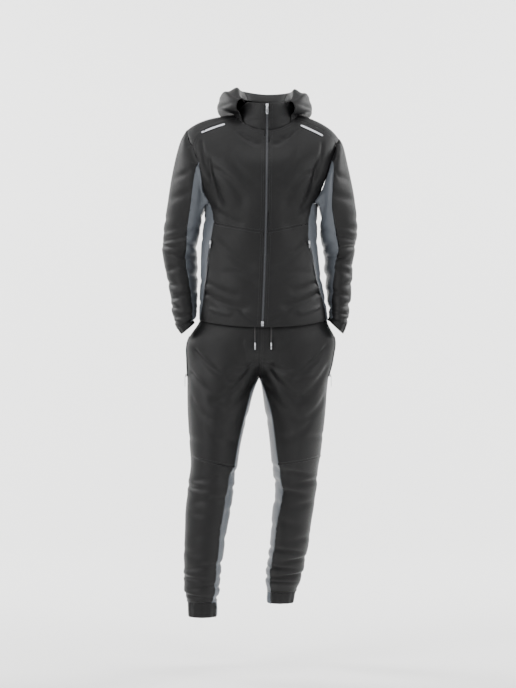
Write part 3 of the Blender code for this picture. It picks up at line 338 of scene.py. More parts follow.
def sewn_to_neighbours(mesh, places, group):
    """Brings the open edge onto the edges of pieces already made, easing the cloth behind it."""
    edges = edge_points(mesh)
    rim = np.unique(edges)
    shift = np.zeros((len(rim), 3))
    known = SEAM_LINES.setdefault(group, [])
    if known:
        done = KDTree(len(known))
        for k, place in enumerate(known):
            done.insert(place, k)
        done.balance()
        for k, index in enumerate(rim):
            near, _, far = done.find(Vector(places[index]))
            if far < SEW_REACH:
                shift[k] = np.array(near) - places[index]
    own = KDTree(len(rim))
    for k, index in enumerate(rim):
        own.insert(Vector(places[index]), k)
    own.balance()
    moved = places.copy()
    for index, place in enumerate(places):
        _, k, far = own.find(Vector(place))
        if far < 2.5 * SEW_EASE:
            moved[index] += shift[k] * math.exp(-(far / SEW_EASE)**2)
    for a, b in edges:
        steps = max(1, int(np.linalg.norm(moved[a] - moved[b]) / 0.001))
        known += [Vector(moved[a] + (moved[b] - moved[a]) * f / steps) for f in range(steps)]
    return moved


def sewn_piece(node, material, slot, creases=(), levels=2, roll=SEAM_ROLL,
               wall=WALL):
    """One cut piece of cloth over its solid: subdivided, creased, seam edges rolled, given a wall."""
    sheet = outer_face(node)
    mesh = bpy.data.meshes.new(f"{node}_knit")
    sheet.to_mesh(mesh)
    sheet.free()
    obj = bpy.data.objects.new(mesh.name, mesh)
    bpy.context.scene.collection.objects.link(obj)
    apply_modifier(obj, "smooth cloth", "SUBSURF", levels=levels, render_levels=levels,
                   boundary_smooth="PRESERVE_CORNERS")
    places, normals = sheet_arrays(obj)
    places -= normals * crease_depth(creases, places, normals)[:, None]
    places = sewn_to_neighbours(obj.data, places, "hood" if "hood" in node else node.split("_")[0])
    obj.data.vertices.foreach_set("co", places.ravel())
    obj.data.update()
    edged = bmesh.new()
    edged.from_mesh(obj.data)
    bmesh.ops.inset_region(edged, faces=edged.faces, use_boundary=True, use_even_offset=False,
                           thickness=SEAM_ROLL_WIDTH)
    edged.normal_update()
    for vertex in edged.verts:
        if vertex.is_boundary and abs(vertex.co.x - FORK_X) > 0.004:
            vertex.co -= vertex.normal * roll
    edged.to_mesh(obj.data)
    edged.free()
    places, normals = sheet_arrays(obj)
    obj.data.calc_loop_triangles()
    corners = np.zeros(len(obj.data.loop_triangles) * 3, dtype=np.int32)
    obj.data.loop_triangles.foreach_get("vertices", corners)
    SHEETS[node] = (places, normals, corners.reshape(-1, 3), edge_points(obj.data))
    apply_modifier(obj, "cloth wall", "SOLIDIFY", thickness=wall, offset=-1.0)
    obj.data.materials.clear()
    obj.data.materials.append(material)
    obj.data.shade_smooth()
    obj.data.set_sharp_from_angle(angle=math.radians(50))
    keep(obj, "garment", slot, node)
    return obj


def edge_points(mesh):
    """Pairs of points that bound the open edge of a sheet."""
    uses = {}
    for polygon in mesh.polygons:
        for key in polygon.edge_keys:
            uses[key] = uses.get(key, 0) + 1
    return np.array([key for key, count in uses.items() if count == 1], dtype=int)


# node, flat width and length of its cut in metres, share of that rectangle, creases
FRONT, BACK_SIDE = -1, 1
JACKET_CREASES = {
    "front_upper_R": ((-150, -150, -118, -262, 9, 4, 5, FRONT), (-128, -170, -60, -250, 13, 3, -6, FRONT),
                      (-172, -92, -150, -182, 8, 3.5, 3, FRONT), (-90, -130, -30, -205, 16, 2, 8, FRONT),
                      (-60, -72, -20, -96, 7, 2.6, 3, FRONT), (-76, -58, -36, -84, 6, 2.2, 4, FRONT),
                      (-130, -280, -70, -316, 11, 2.5, 3, FRONT)),
    "front_upper_L": ((142, -165, 108, -270, 9, 4, -5, FRONT), (120, -180, 62, -252, 13, 3, 6, FRONT),
                      (160, -100, 140, -190, 8, 3.5, -3, FRONT), (86, -130, 34, -200, 16, 2, -8, FRONT),
                      (72, -70, 34, -96, 7, 2.6, -3, FRONT), (88, -56, 50, -80, 6, 2.2, -4, FRONT),
                      (120, -276, 66, -318, 11, 2.5, -3, FRONT)),
    "front_lower_R": ((-158, -508, -60, -548, 9, 4.5, 6, FRONT), (-150, -480, -78, -512, 10, 3, 4, FRONT),
                      (-120, -372, -40, -432, 14, 2.6, 6, FRONT), (-60, -560, -20, -585, 8, 2.2, 2, FRONT),
                      (-140, -552, -96, -562, 7, -2.8, 2, FRONT), (-96, -450, -30, -478, 13, 2, -5, FRONT)),
    "front_lower_L": ((156, -500, 62, -540, 9, 4.5, -6, FRONT), (146, -474, 82, -500, 10, 3, -4, FRONT),
                      (110, -372, 38, -428, 14, 2.6, -6, FRONT), (64, -556, 22, -582, 8, 2.2, -2, FRONT),
                      (146, -546, 100, -560, 7, -2.8, -2, FRONT), (100, -448, 34, -470, 13, 2, 5, FRONT)),
    "back": ((-140, -150, -52, -262, 14, 4, 8, BACK_SIDE), (136, -155, 50, -268, 14, 4, -8, BACK_SIDE),
             (-112, -322, -20, -352, 12, 3, 5, BACK_SIDE), (110, -330, 24, -346, 12, 3, -5, BACK_SIDE),
             (-128, -420, 20, -452, 13, 3.6, 6, BACK_SIDE), (126, -438, -10, -470, 11, 3, -5, BACK_SIDE),
             (-120, -510, 10, -534, 11, 3.6, 5, BACK_SIDE), (124, -500, 20, -530, 10, 3.2, -4, BACK_SIDE),
             (-60, -40, 60, -44, 15, 2.2, 5, BACK_SIDE)),
    "side_panel_R": ((-300, -90, 60, 9, 2.5, 8), (-352, -90, 55, 10, 2.2, -6), (-470, -90, 60, 10, 2.6, 8),
                     (-530, -90, 55, 8, 2.6, -5)),
    "side_panel_L": ((-306, 90, 60, 9, 2.5, 8), (-362, 90, 55, 10, 2.2, -6), (-462, 90, 60, 10, 2.6, 8),
                     (-528, 90, 55, 8, 2.6, -5)),
    # elbow breaks on the inner side of the bend, drag lines from the shoulder, stacks at the cuff
    "sleeve_R": ((-352, -20, 100, 8, 5, 10), (-374, -50, 80, 6, 4, -8), (-330, -60, 60, 8, 3, 12),
                 (-402, 10, 85, 7, 4, -12), (-300, -100, 70, 10, 2.6, 14), (-436, -30, 80, 9, 3.4, 12),
                 (-478, -60, 90, 9, 3.6, -12), (-512, -10, 95, 8, 4.2, 10), (-542, -70, 90, 8, 4.4, -8),
                 (-568, -20, 110, 6, 4, 6), (-584, -90, 90, 5, 3, -4), (-236, -40, 60, 14, 2.4, 26),
                 (-176, -30, 55, 12, 2.6, 30), (-130, -150, 70, 14, 3, -24), (-250, 170, 80, 14, 3, 22),
                 (-360, 160, 70, 12, 2.4, -14), (-470, 150, 80, 11, 3, 12), (-540, 165, 80, 8, 3, -8)),
    "sleeve_L": ((-350, 20, 100, 8, 5, -10), (-376, 48, 80, 6, 4, 8), (-326, 62, 60, 8, 3, -12),
                 (-404, -8, 85, 7, 4.4, 12), (-424, 60, 70, 6, 3.4, -8), (-300, 100, 70, 10, 2.6, -14),
                 (-446, 30, 80, 9, 3.4, -12), (-480, 56, 90, 9, 4, 12), (-506, 10, 95, 8, 4.2, -10),
                 (-538, 66, 90, 8, 4.4, 8), (-560, 20, 110, 6, 4, -6), (-577, 90, 90, 5, 3, 4),
                 (-240, 42, 60, 14, 2.4, -26), (-180, 32, 55, 12, 2.6, -30), (-140, 150, 70, 14, 3, 24),
                 (-256, -170, 80, 14, 3, -22), (-366, -160, 70, 12, 2.4, 14),
                 (-474, -150, 80, 11, 3, -12)),
    "sleeve_panel_R": ((-330, 40, 90, 9, 3.6, 14), (-372, 60, 80, 8, 4, -10), (-402, 40, 90, 8, 3.4, 8),
                       (-450, 70, 100, 9, 3, -10), (-500, 50, 90, 8, 3.4, 10), (-545, 60, 90, 7, 3, -6),
                       (-290, 90, 70, 10, 3, 12), (-340, 150, 70, 10, 3, 12), (-520, 150, 70, 9, 3, 8)),
    "sleeve_panel_L": ((-334, -40, 90, 9, 3.6, -14), (-374, -60, 80, 8, 4, 10), (-404, -40, 90, 8, 3.4, -8),
                       (-452, -70, 100, 9, 3, 10), (-502, -50, 90, 8, 3.4, -10), (-543, -60, 90, 7, 3, 6),
                       (-294, -90, 70, 10, 3, -12), (-344, -150, 70, 10, 3, -12),
                       (-516, -150, 70, 9, 3, -8)),
    "yoke_R": ((-96, -66, 70, 8, 1.6, 6),),
    "yoke_L": ((-96, 66, 70, 8, 1.6, -6),),
    "collar_R": ((-30, -30, 60, 6, 2.4, 10), (-2, -60, 70, 6, 1.8, -8), (-60, -10, 40, 5, 1.8, 6)),
    "collar_L": ((-28, 34, 60, 6, 2.4, -10), (-4, 66, 70, 6, 1.8, 8), (-58, 14, 40, 5, 1.8, -6)),
    "hood_side_R": ((16, -60, 70, 7, 2.6, 16), (36, -90, 60, 7, 2.4, -12)),
    "hood_side_L": ((14, 60, 70, 7, 2.6, -16), (38, 90, 60, 7, 2.4, 12)),
    "hood_centre": ((10, 180, 80, 9, 3.6, 10), (-24, 160, 60, 9, 3, -10), (-52, -150, 60, 8, 3, 8)),
}
# cut of each piece: width, length and share of the rectangle that it fills
JACKET_CUTS = {
    "front_upper": (0.20, 0.34, 0.80), "front_lower": (0.18, 0.285, 0.90),
    "side_panel": (0.15, 0.33, 0.78), "sleeve": (0.26, 0.56, 0.78),
    "sleeve_panel": (0.17, 0.46, 0.72), "yoke": (0.13, 0.16, 0.72), "collar": (0.17, 0.10, 0.72),
    "hood_side": (0.20, 0.24, 0.62),
}
for tag in ("R", "L"):
    for part, (width, length, share) in JACKET_CUTS.items():
        grey = "panel" in part
        sewn_piece(f"jacket_{part}_{tag}", GREY if grey else BLACK, "grey_knit" if grey else "black_knit",
                   JACKET_CREASES.get(f"{part}_{tag}", ()),
                   levels=3 if part in ("sleeve", "front_lower", "front_upper", "side_panel") else 2)
sewn_piece("jacket_back", BLACK, "black_knit", JACKET_CREASES["back"])
sewn_piece("jacket_hood_centre", BLACK, "black_knit",
           JACKET_CREASES["hood_centre"])


# Joggers: the same knit, a front cut in two at the knee, a back and a grey panel inside the leg.
# The legs break at the fork and the knee, and stack over the elastic of the ankles.
JOGGER_CREASES = {
    "front_upper_R": ((-186, -668, -96, -742, 11, 5, 6, FRONT), (-198, -728, -112, -806, 12, 4, 5, FRONT),
                      (-44, -724, -136, -800, 11, 5, -8, FRONT), (-30, -700, -90, -716, 8, 3, -4, FRONT),
                      (-38, -770, -120, -850, 13, 3, -6, FRONT), (-196, -800, -150, -850, 10, 3, 4, FRONT),
                      (-60, -640, -36, -706, 9, 2.6, 4, FRONT), (-150, -880, -90, -912, 12, 3, 4, FRONT),
                      (-904, -70, 50, 9, 2.6, -8)),
    "front_upper_L": ((166, -660, 80, -736, 11, 5, -6, FRONT), (170, -716, 96, -800, 12, 4, -5, FRONT),
                      (18, -724, 104, -796, 11, 5, 8, FRONT), (8, -700, 66, -716, 8, 3, 4, FRONT),
                      (14, -774, 92, -850, 13, 3, 6, FRONT), (164, -796, 122, -846, 10, 3, -4, FRONT),
                      (44, -640, 16, -704, 9, 2.6, -4, FRONT), (118, -872, 62, -906, 12, 3, -4, FRONT),
                      (-900, 66, 50, 9, 2.6, 8)),
    "front_lower_R": ((-1010, -10, 70, 9, 4, 14), (-1036, -50, 80, 9, 4.4, -10), (-1068, 10, 80, 10, 4, 12),
                      (-1104, -30, 70, 11, 3.2, -14), (-1160, 0, 70, 13, 2.6, 18),
                      (-1212, -40, 80, 10, 3, -12),
                      (-1250, -10, 90, 8, 4.6, 10), (-1280, -50, 90, 7, 4.6, -8), (-1304, 10, 90, 7, 4.4, 8),
                      (-1330, -40, 100, 6, 4.4, -6), (-1350, 0, 90, 5, 3, 4)),
    "front_lower_L": ((-1004, 14, 70, 9, 4, -14), (-1030, 48, 80, 9, 4.4, 10), (-1060, -10, 80, 10, 4.4, -12),
                      (-1096, 28, 70, 11, 3.2, 14), (-1150, 0, 70, 13, 2.6, -18), (-1196, 38, 80, 10, 3, 12),
                      (-1230, 8, 90, 8, 4.6, -10), (-1256, 48, 90, 7, 4.6, 8), (-1280, -10, 90, 7, 4.4, -8),
                      (-1302, 40, 100, 6, 4.4, 6), (-1322, 0, 90, 5, 3, -4)),
    "back_R": ((-180, -772, -60, -764, 10, 5, 6, BACK_SIDE), (-188, -800, -70, -812, 11, 4, -5, BACK_SIDE),
               (-150, -700, -70, -748, 12, 3.4, 6, BACK_SIDE), (-960, 170, 80, 9, 4.4, 10),
               (-990, -170, 80, 9, 5, -10), (-1020, 170, 80, 9, 4.4, 12), (-1056, 180, 70, 10, 3.6, -12),
               (-900, 170, 70, 12, 3, 12), (-1140, 170, 70, 12, 2.8, -12), (-1236, 180, 80, 8, 4.4, 8),
               (-1268, 160, 90, 7, 4.6, -8), (-1296, -170, 90, 7, 4.4, 8), (-1326, 170, 100, 6, 4.2, -6),
               (-1256, -90, 60, 7, 3.4, 8), (-1314, -90, 60, 6, 3.4, -6)),
    "back_L": ((146, -772, 34, -764, 10, 5, -6, BACK_SIDE), (152, -800, 44, -812, 11, 4, 5, BACK_SIDE),
               (120, -700, 44, -748, 12, 3.4, -6, BACK_SIDE), (-956, -170, 80, 9, 4.4, -10),
               (-986, 170, 80, 9, 5, 10), (-1016, -170, 80, 9, 4.4, -12), (-1050, 180, 70, 10, 3.6, 12),
               (-896, -170, 70, 12, 3, -12), (-1130, -170, 70, 12, 2.8, 12), (-1216, 180, 80, 8, 4.4, -8),
               (-1246, -160, 90, 7, 4.6, 8), (-1272, 170, 90, 7, 4.4, -8), (-1298, -170, 100, 6, 4.2, 6),
               (-1236, 90, 60, 7, 3.4, -8), (-1290, 90, 60, 6, 3.4, 6)),
    "inseam_panel_R": ((-1000, 60, 80, 9, 3.6, 12), (-1040, 90, 80, 9, 4, -10), (-1100, 70, 80, 11, 3, 10),
                       (-1180, 100, 90, 12, 2.6, -12), (-1246, 80, 90, 8, 4, 8), (-1280, 110, 90, 7, 4, -6),
                       (-1310, 70, 90, 7, 4, 6), (-1338, 90, 90, 6, 3.4, -4), (-850, 90, 80, 13, 2.4, 12)),
    "inseam_panel_L": ((-990, -60, 80, 9, 3.6, -12), (-1030, -90, 80, 9, 4, 10), (-1090, -70, 80, 11, 3, -10),
                       (-1160, -100, 90, 12, 2.6, 12), (-1224, -80, 90, 8, 4, -8), (-1254, -110, 90, 7, 4, 6),
                       (-1282, -70, 90, 7, 4, -6), (-1310, -90, 90, 6, 3.4, 4),
                       (-850, -90, 80, 13, 2.4, -12)),
}
# cut of each piece: width, length and share of the rectangle that it fills
JOGGER_CUTS = {
    "front_upper": (0.29, 0.46, 0.80), "front_lower": (0.19, 0.42, 0.76),
    "back": (0.27, 0.86, 0.72), "inseam_panel": (0.14, 0.66, 0.68),
}
for tag in ("R", "L"):
    for part, (width, length, share) in JOGGER_CUTS.items():
        grey = part == "inseam_panel"
        sewn_piece(f"jogger_{part}_{tag}", GREY if grey else BLACK, "grey_knit" if grey else "black_knit",
                   JOGGER_CREASES[f"{part}_{tag}"],
                   levels=2 if part == "back" else 3)


# Elastic bands: the knit is sewn over 40 mm elastic at wrists, ankles and waist, so it stands in
# fine upright gathers between rows of stitching. Each ankle has a grey insert below its panel
def gathered_knit(name, colour, gathers):
    """Knit drawn up by elastic: matt, with narrow upright puckers about 3 mm apart, painted darker in their
    troughs and lighter on their crests as shade and light.
    """
    mat, tree, shader = new_material(name, Base_Color=srgb(colour), Roughness=0.62,
                                     Specular_IOR_Level=0.22)
    place = add_node(tree, "ShaderNodeTexCoord").outputs["Object"]
    drawn = add_node(tree, "ShaderNodeMapping", {"Scale": (1.0, 1.0, 0.12)}, {"Vector": place})
    pucker = add_node(tree, "ShaderNodeTexNoise", {"Scale": gathers, "Detail": 3.0},
                      {"Vector": drawn.outputs[0]})
    bump = add_node(tree, "ShaderNodeBump", {"Strength": 0.7, "Distance": 0.0012},
                    {"Height": pucker.outputs["Fac"]})
    tree.links.new(bump.outputs[0], shader.inputs["Normal"])
    # painted shade and light: the colour is darkened in the puckers' troughs and lightened on their crests,
    # following the bump
    tone = add_node(tree, "ShaderNodeMapRange", {"To Min": 0.7, "To Max": 1.3},
                    {"Value": pucker.outputs["Fac"]})
    shade = add_node(tree, "ShaderNodeMix", {0: 1.0, MIX_A: srgb(colour)},
                     {MIX_B: tone.outputs[0]}, data_type="RGBA", blend_type="MULTIPLY")
    tree.links.new(shade.outputs[MIX_OUT], shader.inputs["Base Color"])
    return mat


BLACK_BAND = gathered_knit("black_elastic_band", "070708", 320.0)
GREY_BAND = gathered_knit("grey_elastic_band", "484d53", 320.0)
BAND_CUTS = {
    "jacket_wrist_cuff_R": (0.18, 0.021), "jacket_wrist_cuff_L": (0.18, 0.024),
    "jogger_ankle_cuff_R": (0.24, 0.043), "jogger_ankle_cuff_L": (0.24, 0.035),
    "jogger_ankle_cuff_R_insert": (0.06, 0.043), "jogger_ankle_cuff_L_insert": (0.06, 0.035),
    "jogger_waistband": (0.90, 0.045),
}
for node, cut in BAND_CUTS.items():
    grey = node.endswith("insert")
    sewn_piece(node, GREY_BAND if grey else BLACK_BAND, "grey_knit" if grey else "elastic_band",
               levels=2, roll=0.0004, wall=0.0015)


# Zips: woven polyester tape with a nylon coil, teeth 1.5 mm apart in life and drawn 2.2 mm so that
# they show. The front one runs from the hem to the collar's top, two more close each pair of pockets
def woven_tape():
    """Close twill of dark grey polyester with a slight shine."""
    mat, tree, shader = new_material("woven_zip_tape", Base_Color=srgb("1e1f22"), Roughness=0.5,
                                     Specular_IOR_Level=0.35)
    place = add_node(tree, "ShaderNodeTexCoord").outputs["Object"]
    twill = add_node(tree, "ShaderNodeTexWave", {"Scale": 260.0}, {"Vector": place},
                     bands_direction="DIAGONAL")
    bump = add_node(tree, "ShaderNodeBump", {"Strength": 0.4, "Distance": 0.0003},
                    {"Height": twill.outputs["Fac"]})
    tree.links.new(bump.outputs[0], shader.inputs["Normal"])
    return mat


def nylon_coil():
    """Moulded nylon monofilament, dark grey and a little glossy."""
    mat, tree, shader = new_material("nylon_coil", Base_Color=srgb("2e3034"), Roughness=0.32)
    place = add_node(tree, "ShaderNodeTexCoord").outputs["Object"]
    uneven = add_node(tree, "ShaderNodeTexNoise", {"Scale": 300.0}, {"Vector": place})
    rough = add_node(tree, "ShaderNodeMapRange", {"To Min": 0.26, "To Max": 0.42},
                     {"Value": uneven.outputs["Fac"]})
    tree.links.new(rough.outputs[0], shader.inputs["Roughness"])
    return mat


def smooth_line(points, step):
    """Points every step along a smooth curve through the given ones."""
    ends = np.vstack([2 * points[0] - points[1], points, 2 * points[-1] - points[-2]])
    fine = []
    for k in range(1, len(ends) - 2):
        a, b, c, d = ends[k - 1:k + 3]
        for f in np.linspace(0, 1, 40, endpoint=False):
            fine.append(0.5 * (2 * b + (c - a) * f + (2 * a - 5 * b + 4 * c - d) * f**2
                               + (3 * b - a - 3 * c + d) * f**3))
    fine = np.array(fine + [points[-1]])
    run = np.concatenate([[0], np.cumsum(np.linalg.norm(np.diff(fine, axis=0), axis=1))])
    marks = np.linspace(0, run[-1], max(2, int(round(run[-1] / step)) + 1))
    return np.stack([np.interp(marks, run, fine[:, k]) for k in range(3)], axis=1)


def strip_frame(node, step):
    """Centre line of a strip two points wide, its sideways direction and its outward normal."""
    sheet = outer_face(node)
    sheet.normal_update()
    corners = sorted((v for v in sheet.verts), key=lambda v: v.co.z)
    pairs = [corners[k:k + 2] for k in range(0, len(corners) - 1, 2)]
    middle = np.array([(a.co + b.co) / 2 for a, b in pairs])
    across = np.array([(b.co - a.co) * (1 if b.co.x > a.co.x else -1) for a, b in pairs])
    outward = np.array([a.normal + b.normal for a, b in pairs])
    line = smooth_line(middle, step)
    heights = np.linspace(0, 1, len(pairs))
    share = np.linspace(0, 1, len(line))
    spread = [np.stack([np.interp(share, heights, v[:, k]) for k in range(3)], axis=1)
              for v in (across, outward)]
    sheet.free()
    ahead = np.gradient(line, axis=0)
    ahead /= np.linalg.norm(ahead, axis=1, keepdims=True)
    out = spread[1] - ahead * np.sum(spread[1] * ahead, axis=1, keepdims=True)
    out /= np.linalg.norm(out, axis=1, keepdims=True)
    side = np.cross(out, ahead)
    half = np.linalg.norm(spread[0], axis=1) / 2
    return line, side, out, ahead, half


def laid_on(points, nodes, lift):
    """The points brought down onto finished cloth, lifted off it; returns them and its normals."""
    corners, triangles = [], []
    for node in nodes:
        places, _, faces, _ = SHEETS[node]
        triangles += [tuple(int(k) + len(corners) for k in face) for face in faces]
        corners += [Vector(p) for p in places]
    tree = BVHTree.FromPolygons(corners, triangles)
    hits = [tree.find_nearest(Vector(p)) for p in points]
    return (np.array([h[0] + h[1] * lift for h in hits]), np.array([h[1] for h in hits]))


def joined_mesh(name, vertices, faces, material):
    mesh = bpy.data.meshes.new(name)
    mesh.from_pydata([tuple(v) for v in vertices], [], faces)
    mesh.materials.append(material)
    mesh.update()
    obj = bpy.data.objects.new(name, mesh)
    bpy.context.scene.collection.objects.link(obj)
    return obj


def turned_outward(obj):
    """Every face of a closed mesh turned to look outward."""
    work = bmesh.new()
    work.from_mesh(obj.data)
    bmesh.ops.recalc_face_normals(work, faces=work.faces)
    work.to_mesh(obj.data)
    work.free()


def ribbon(name, line, side, out, profile, material):
    """Closed strip along a line; the profile gives each corner's place across and its height."""
    sides = len(profile)
    rings = [[p + s * a + n * h for a, h in profile] for p, s, n in zip(line, side, out)]
    vertices = [v for ring in rings for v in ring]
    faces = [(i * sides + k, i * sides + (k + 1) % sides, (i + 1) * sides + (k + 1) % sides,
              (i + 1) * sides + k) for i in range(len(rings) - 1) for k in range(sides)]
    faces += [tuple(reversed(range(sides))), tuple((len(rings) - 1) * sides + k for k in range(sides))]
    obj = joined_mesh(name, vertices, faces, material)
    turned_outward(obj)
    obj.data.shade_smooth()
    obj.data.set_sharp_from_angle(angle=math.radians(40))
    return obj


def smoothed(rows, reach):
    """Running mean along a list of points, ends kept."""
    padded = np.vstack([rows[:1]] * reach + [rows] + [rows[-1:]] * reach)
    total = np.cumsum(np.vstack([np.zeros((1, 3)), padded]), axis=0)
    return (total[2 * reach + 1:] - total[:-2 * reach - 1]) / (2 * reach + 1)


TAPE, COIL = woven_tape(), nylon_coil()
TOOTH_PITCH, TOOTH_LONG, TOOTH_HALF, TOOTH_RISE = 0.0022, 0.0026, 0.0006, 0.0007
TOOTH_RING = ((-1, 0.0), (-0.8, 0.8), (0, 1.0), (0.8, 0.8), (1, 0.0))


def zip_chain(name, node, sink, under=()):
    """Tape with a raised edge beside the chain, and the coil's teeth, one side then the other."""
    line, side, out, ahead, half = strip_frame(node, TOOTH_PITCH / 2)
    if under:
        line, out = laid_on(line, under, 0.0013)
        line, out = smoothed(line, 12), smoothed(out, 12)
        out /= np.linalg.norm(out, axis=1, keepdims=True)
        side = np.cross(out, ahead)
    w = float(np.median(half)) - 0.0001
    thick = 0.0011
    profile = ((-w, -thick), (w, -thick), (w, 0.0), (0.5 * w, 0.0), (0.42 * w, 0.0003),
               (-0.42 * w, 0.0003), (-0.5 * w, 0.0), (-w, 0.0))
    base = line - out * sink
    tape = ribbon(f"{name}_tape", base, side, out, profile, TAPE)
    keep(tape, "garment", "zip_tape", node)
    edges = [(hand * len(line) + k, hand * len(line) + k + 1)
             for hand in (0, 1) for k in range(len(line) - 1)]
    SHEETS[node] = (np.vstack([base - side * w, base + side * w]), None, None,
                    np.array(edges, dtype=int))
    vertices, faces = [], []
    for k in range(2, len(line) - 2):
        hand = 1 if k % 2 else -1
        middle = base[k] + side[k] * hand * 0.00055 + out[k] * 0.0003
        start = len(vertices)
        for end in (-1, 1):
            for across, rise in TOOTH_RING:
                vertices.append(middle + side[k] * end * TOOTH_LONG / 2
                                + ahead[k] * across * TOOTH_HALF
                                + out[k] * TOOTH_RISE * rise * (1.0 if end != hand else 0.8))
        count = len(TOOTH_RING)
        for j in range(count):
            m = (j + 1) % count
            faces.append((start + j, start + m, start + count + m, start + count + j))
        faces.append(tuple(start + j for j in reversed(range(count))))
        faces.append(tuple(start + count + j for j in range(count)))
    teeth = joined_mesh(f"{name}_teeth", vertices, faces, COIL)
    turned_outward(teeth)
    keep(teeth, "garment", "zip_tape")


zip_chain("front_zip", "jacket_front_zip", 0.0004)
for tag in ("R", "L"):
    zip_chain(f"jacket_pocket_{tag}", f"jacket_pocket_zip_{tag}", 0.0,
              (f"jacket_front_lower_{tag}", f"jacket_side_panel_{tag}"))
    zip_chain(f"jogger_pocket_{tag}", f"jogger_pocket_zip_{tag}", 0.0,
              (f"jogger_front_upper_{tag}", f"jogger_back_{tag}"))


# Reflective strips: silver tape with glass beads, 8 mm wide with round ends, bonded on each
# shoulder just in front of the yoke seam
def beaded_tape():
    """Retroreflective tape: pale silver, bright and fairly even, with a fine beaded grain."""
    mat, tree, shader = new_material("beaded_silver_tape", Base_Color=srgb("b9bac0"), Metallic=0.35,
                                     Roughness=0.4)
    place = add_node(tree, "ShaderNodeTexCoord").outputs["Object"]
    beads = add_node(tree, "ShaderNodeTexVoronoi", {"Scale": 900.0}, {"Vector": place})
    bump = add_node(tree, "ShaderNodeBump", {"Strength": 0.25, "Distance": 0.0002},
                    {"Height": beads.outputs["Distance"]})
    tree.links.new(bump.outputs[0], shader.inputs["Normal"])
    return mat


BEADED = beaded_tape()
STRIP_HALF, STRIP_STEPS, STRIP_ACROSS = 0.0041, 48, 6
for tag, ends in (("R", ((-0.173, -0.062), (-0.109, -0.032))), ("L", ((0.102, -0.036), (0.162, -0.071)))):
    (x1, z1), (x2, z2) = ends
    run = math.hypot(x2 - x1, z2 - z1)
    node = f"jacket_reflective_strip_{tag}"
    low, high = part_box(node)
    points = []
    for k in range(STRIP_STEPS + 1):
        f = k / STRIP_STEPS
        from_end = min(f, 1 - f) * run
        half = STRIP_HALF
        if from_end < STRIP_HALF:
            half = math.sqrt(max(STRIP_HALF**2 - (STRIP_HALF - from_end)**2, 1e-9))
        for j in range(STRIP_ACROSS + 1):
            off = (2 * j / STRIP_ACROSS - 1) * half
            points.append((x1 + (x2 - x1) * f - (z2 - z1) / run * off, low.y + (high.y - low.y) * 0.3,
                           z1 + (z2 - z1) * f + (x2 - x1) / run * off))
    points, _ = laid_on(points, (f"jacket_yoke_{tag}", f"jacket_front_upper_{tag}"), 0.0012)
    cols = STRIP_ACROSS + 1
    faces = [(k * cols + j, (k + 1) * cols + j, (k + 1) * cols + j + 1, k * cols + j + 1)
             for k in range(STRIP_STEPS) for j in range(STRIP_ACROSS)]
    strip = joined_mesh(f"reflective_strip_{tag}", points, faces, BEADED)
    apply_modifier(strip, "tape thickness", "SOLIDIFY", thickness=0.0007, offset=-1.0)
    strip.data.shade_smooth()
    strip.data.set_sharp_from_angle(angle=math.radians(40))
    keep(strip, "garment", "reflective_tape", node)


# Sliders, pulls and the box at the foot of the front zip: cast zinc, plated silver. The front slider is a
# block with its outer face drawn in and its edges rounded, and each pull is a flat tab with a long eye
def metal_block(name, low, high, shrink, bevel):
    """Block from a cube in the given box: its outer face drawn in, all edges rounded."""
    bpy.ops.object.select_all(action="DESELECT")
    bpy.ops.mesh.primitive_cube_add(size=1, location=(low + high) / 2)
    obj = bpy.context.object
    obj.name = obj.data.name = name
    obj.scale = high - low
    bpy.ops.object.transform_apply(location=True, rotation=True, scale=True)
    front = min(v.co.y for v in obj.data.vertices)
    middle = (low + high) / 2
    for vertex in obj.data.vertices:
        if vertex.co.y < front + 1e-6:
            vertex.co.x = middle.x + (vertex.co.x - middle.x) * shrink
            vertex.co.z = middle.z + (vertex.co.z - middle.z) * shrink
    apply_modifier(obj, "rounded edges", "BEVEL", width=bevel, segments=3)
    obj.data.materials.clear()
    obj.data.materials.append(ZINC)
    obj.data.shade_smooth()
    obj.data.set_sharp_from_angle(angle=math.radians(45))
    return obj


def eyed_tab(name, node, eye_from, eye_to):
    """Pull tab in the place of its solid: a rounded flat tab with a slot through it."""
    corners = np.array([v.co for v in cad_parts[node].data.vertices])
    middle = (corners.min(axis=0) + corners.max(axis=0)) / 2
    flat = corners[:, :2] - middle[:2]
    turn = np.linalg.eigh(flat.T @ flat)[1]
    across, out = np.array((*turn[:, 1], 0.0)), np.array((*turn[:, 0], 0.0))
    half_wide = np.abs((corners - middle) @ across).max()
    half_thick = np.abs((corners - middle) @ out).max()
    half_long = (corners[:, 2].max() - corners[:, 2].min()) / 2
    count = 48
    loops = []
    for wide, top, foot in ((half_wide, 1.0, -1.0), (half_wide * 0.5, eye_from, eye_to)):
        loop = []
        for k in range(count):
            a = 2 * math.pi * k / count
            c, s = math.cos(a), math.sin(a)
            x = wide * math.copysign(min(1, abs(c) ** 0.45), c)
            z = math.copysign(min(1, abs(s) ** 0.45), s)
            z = (top + foot) / 2 + (top - foot) / 2 * z
            loop.append((x, z * half_long))
        loops.append(loop)
    edge = half_thick * 0.45
    rings = [(0, 1.0, -half_thick + edge), (0, 0.93, -half_thick), (1, 1.1, -half_thick),
             (1, 1.0, 0.0), (1, 1.1, half_thick), (0, 0.93, half_thick), (0, 1.0, half_thick - edge)]
    vertices = []
    for which, scale, depth in rings:
        for x, z in loops[which]:
            mid = (eye_from + eye_to) / 2 * half_long if which else 0
            place = middle + across * x * scale + out * depth
            vertices.append((place[0], place[1], middle[2] + mid + (z - mid) * scale))
    faces = [(i * count + k, i * count + (k + 1) % count, (i + 1) % len(rings) * count + (k + 1) % count,
              (i + 1) % len(rings) * count + k) for i in range(len(rings)) for k in range(count)]
    tab = joined_mesh(name, vertices, faces, ZINC)
    turned_outward(tab)
    tab.data.shade_smooth()
    tab.data.set_sharp_from_angle(angle=math.radians(50))
    return tab


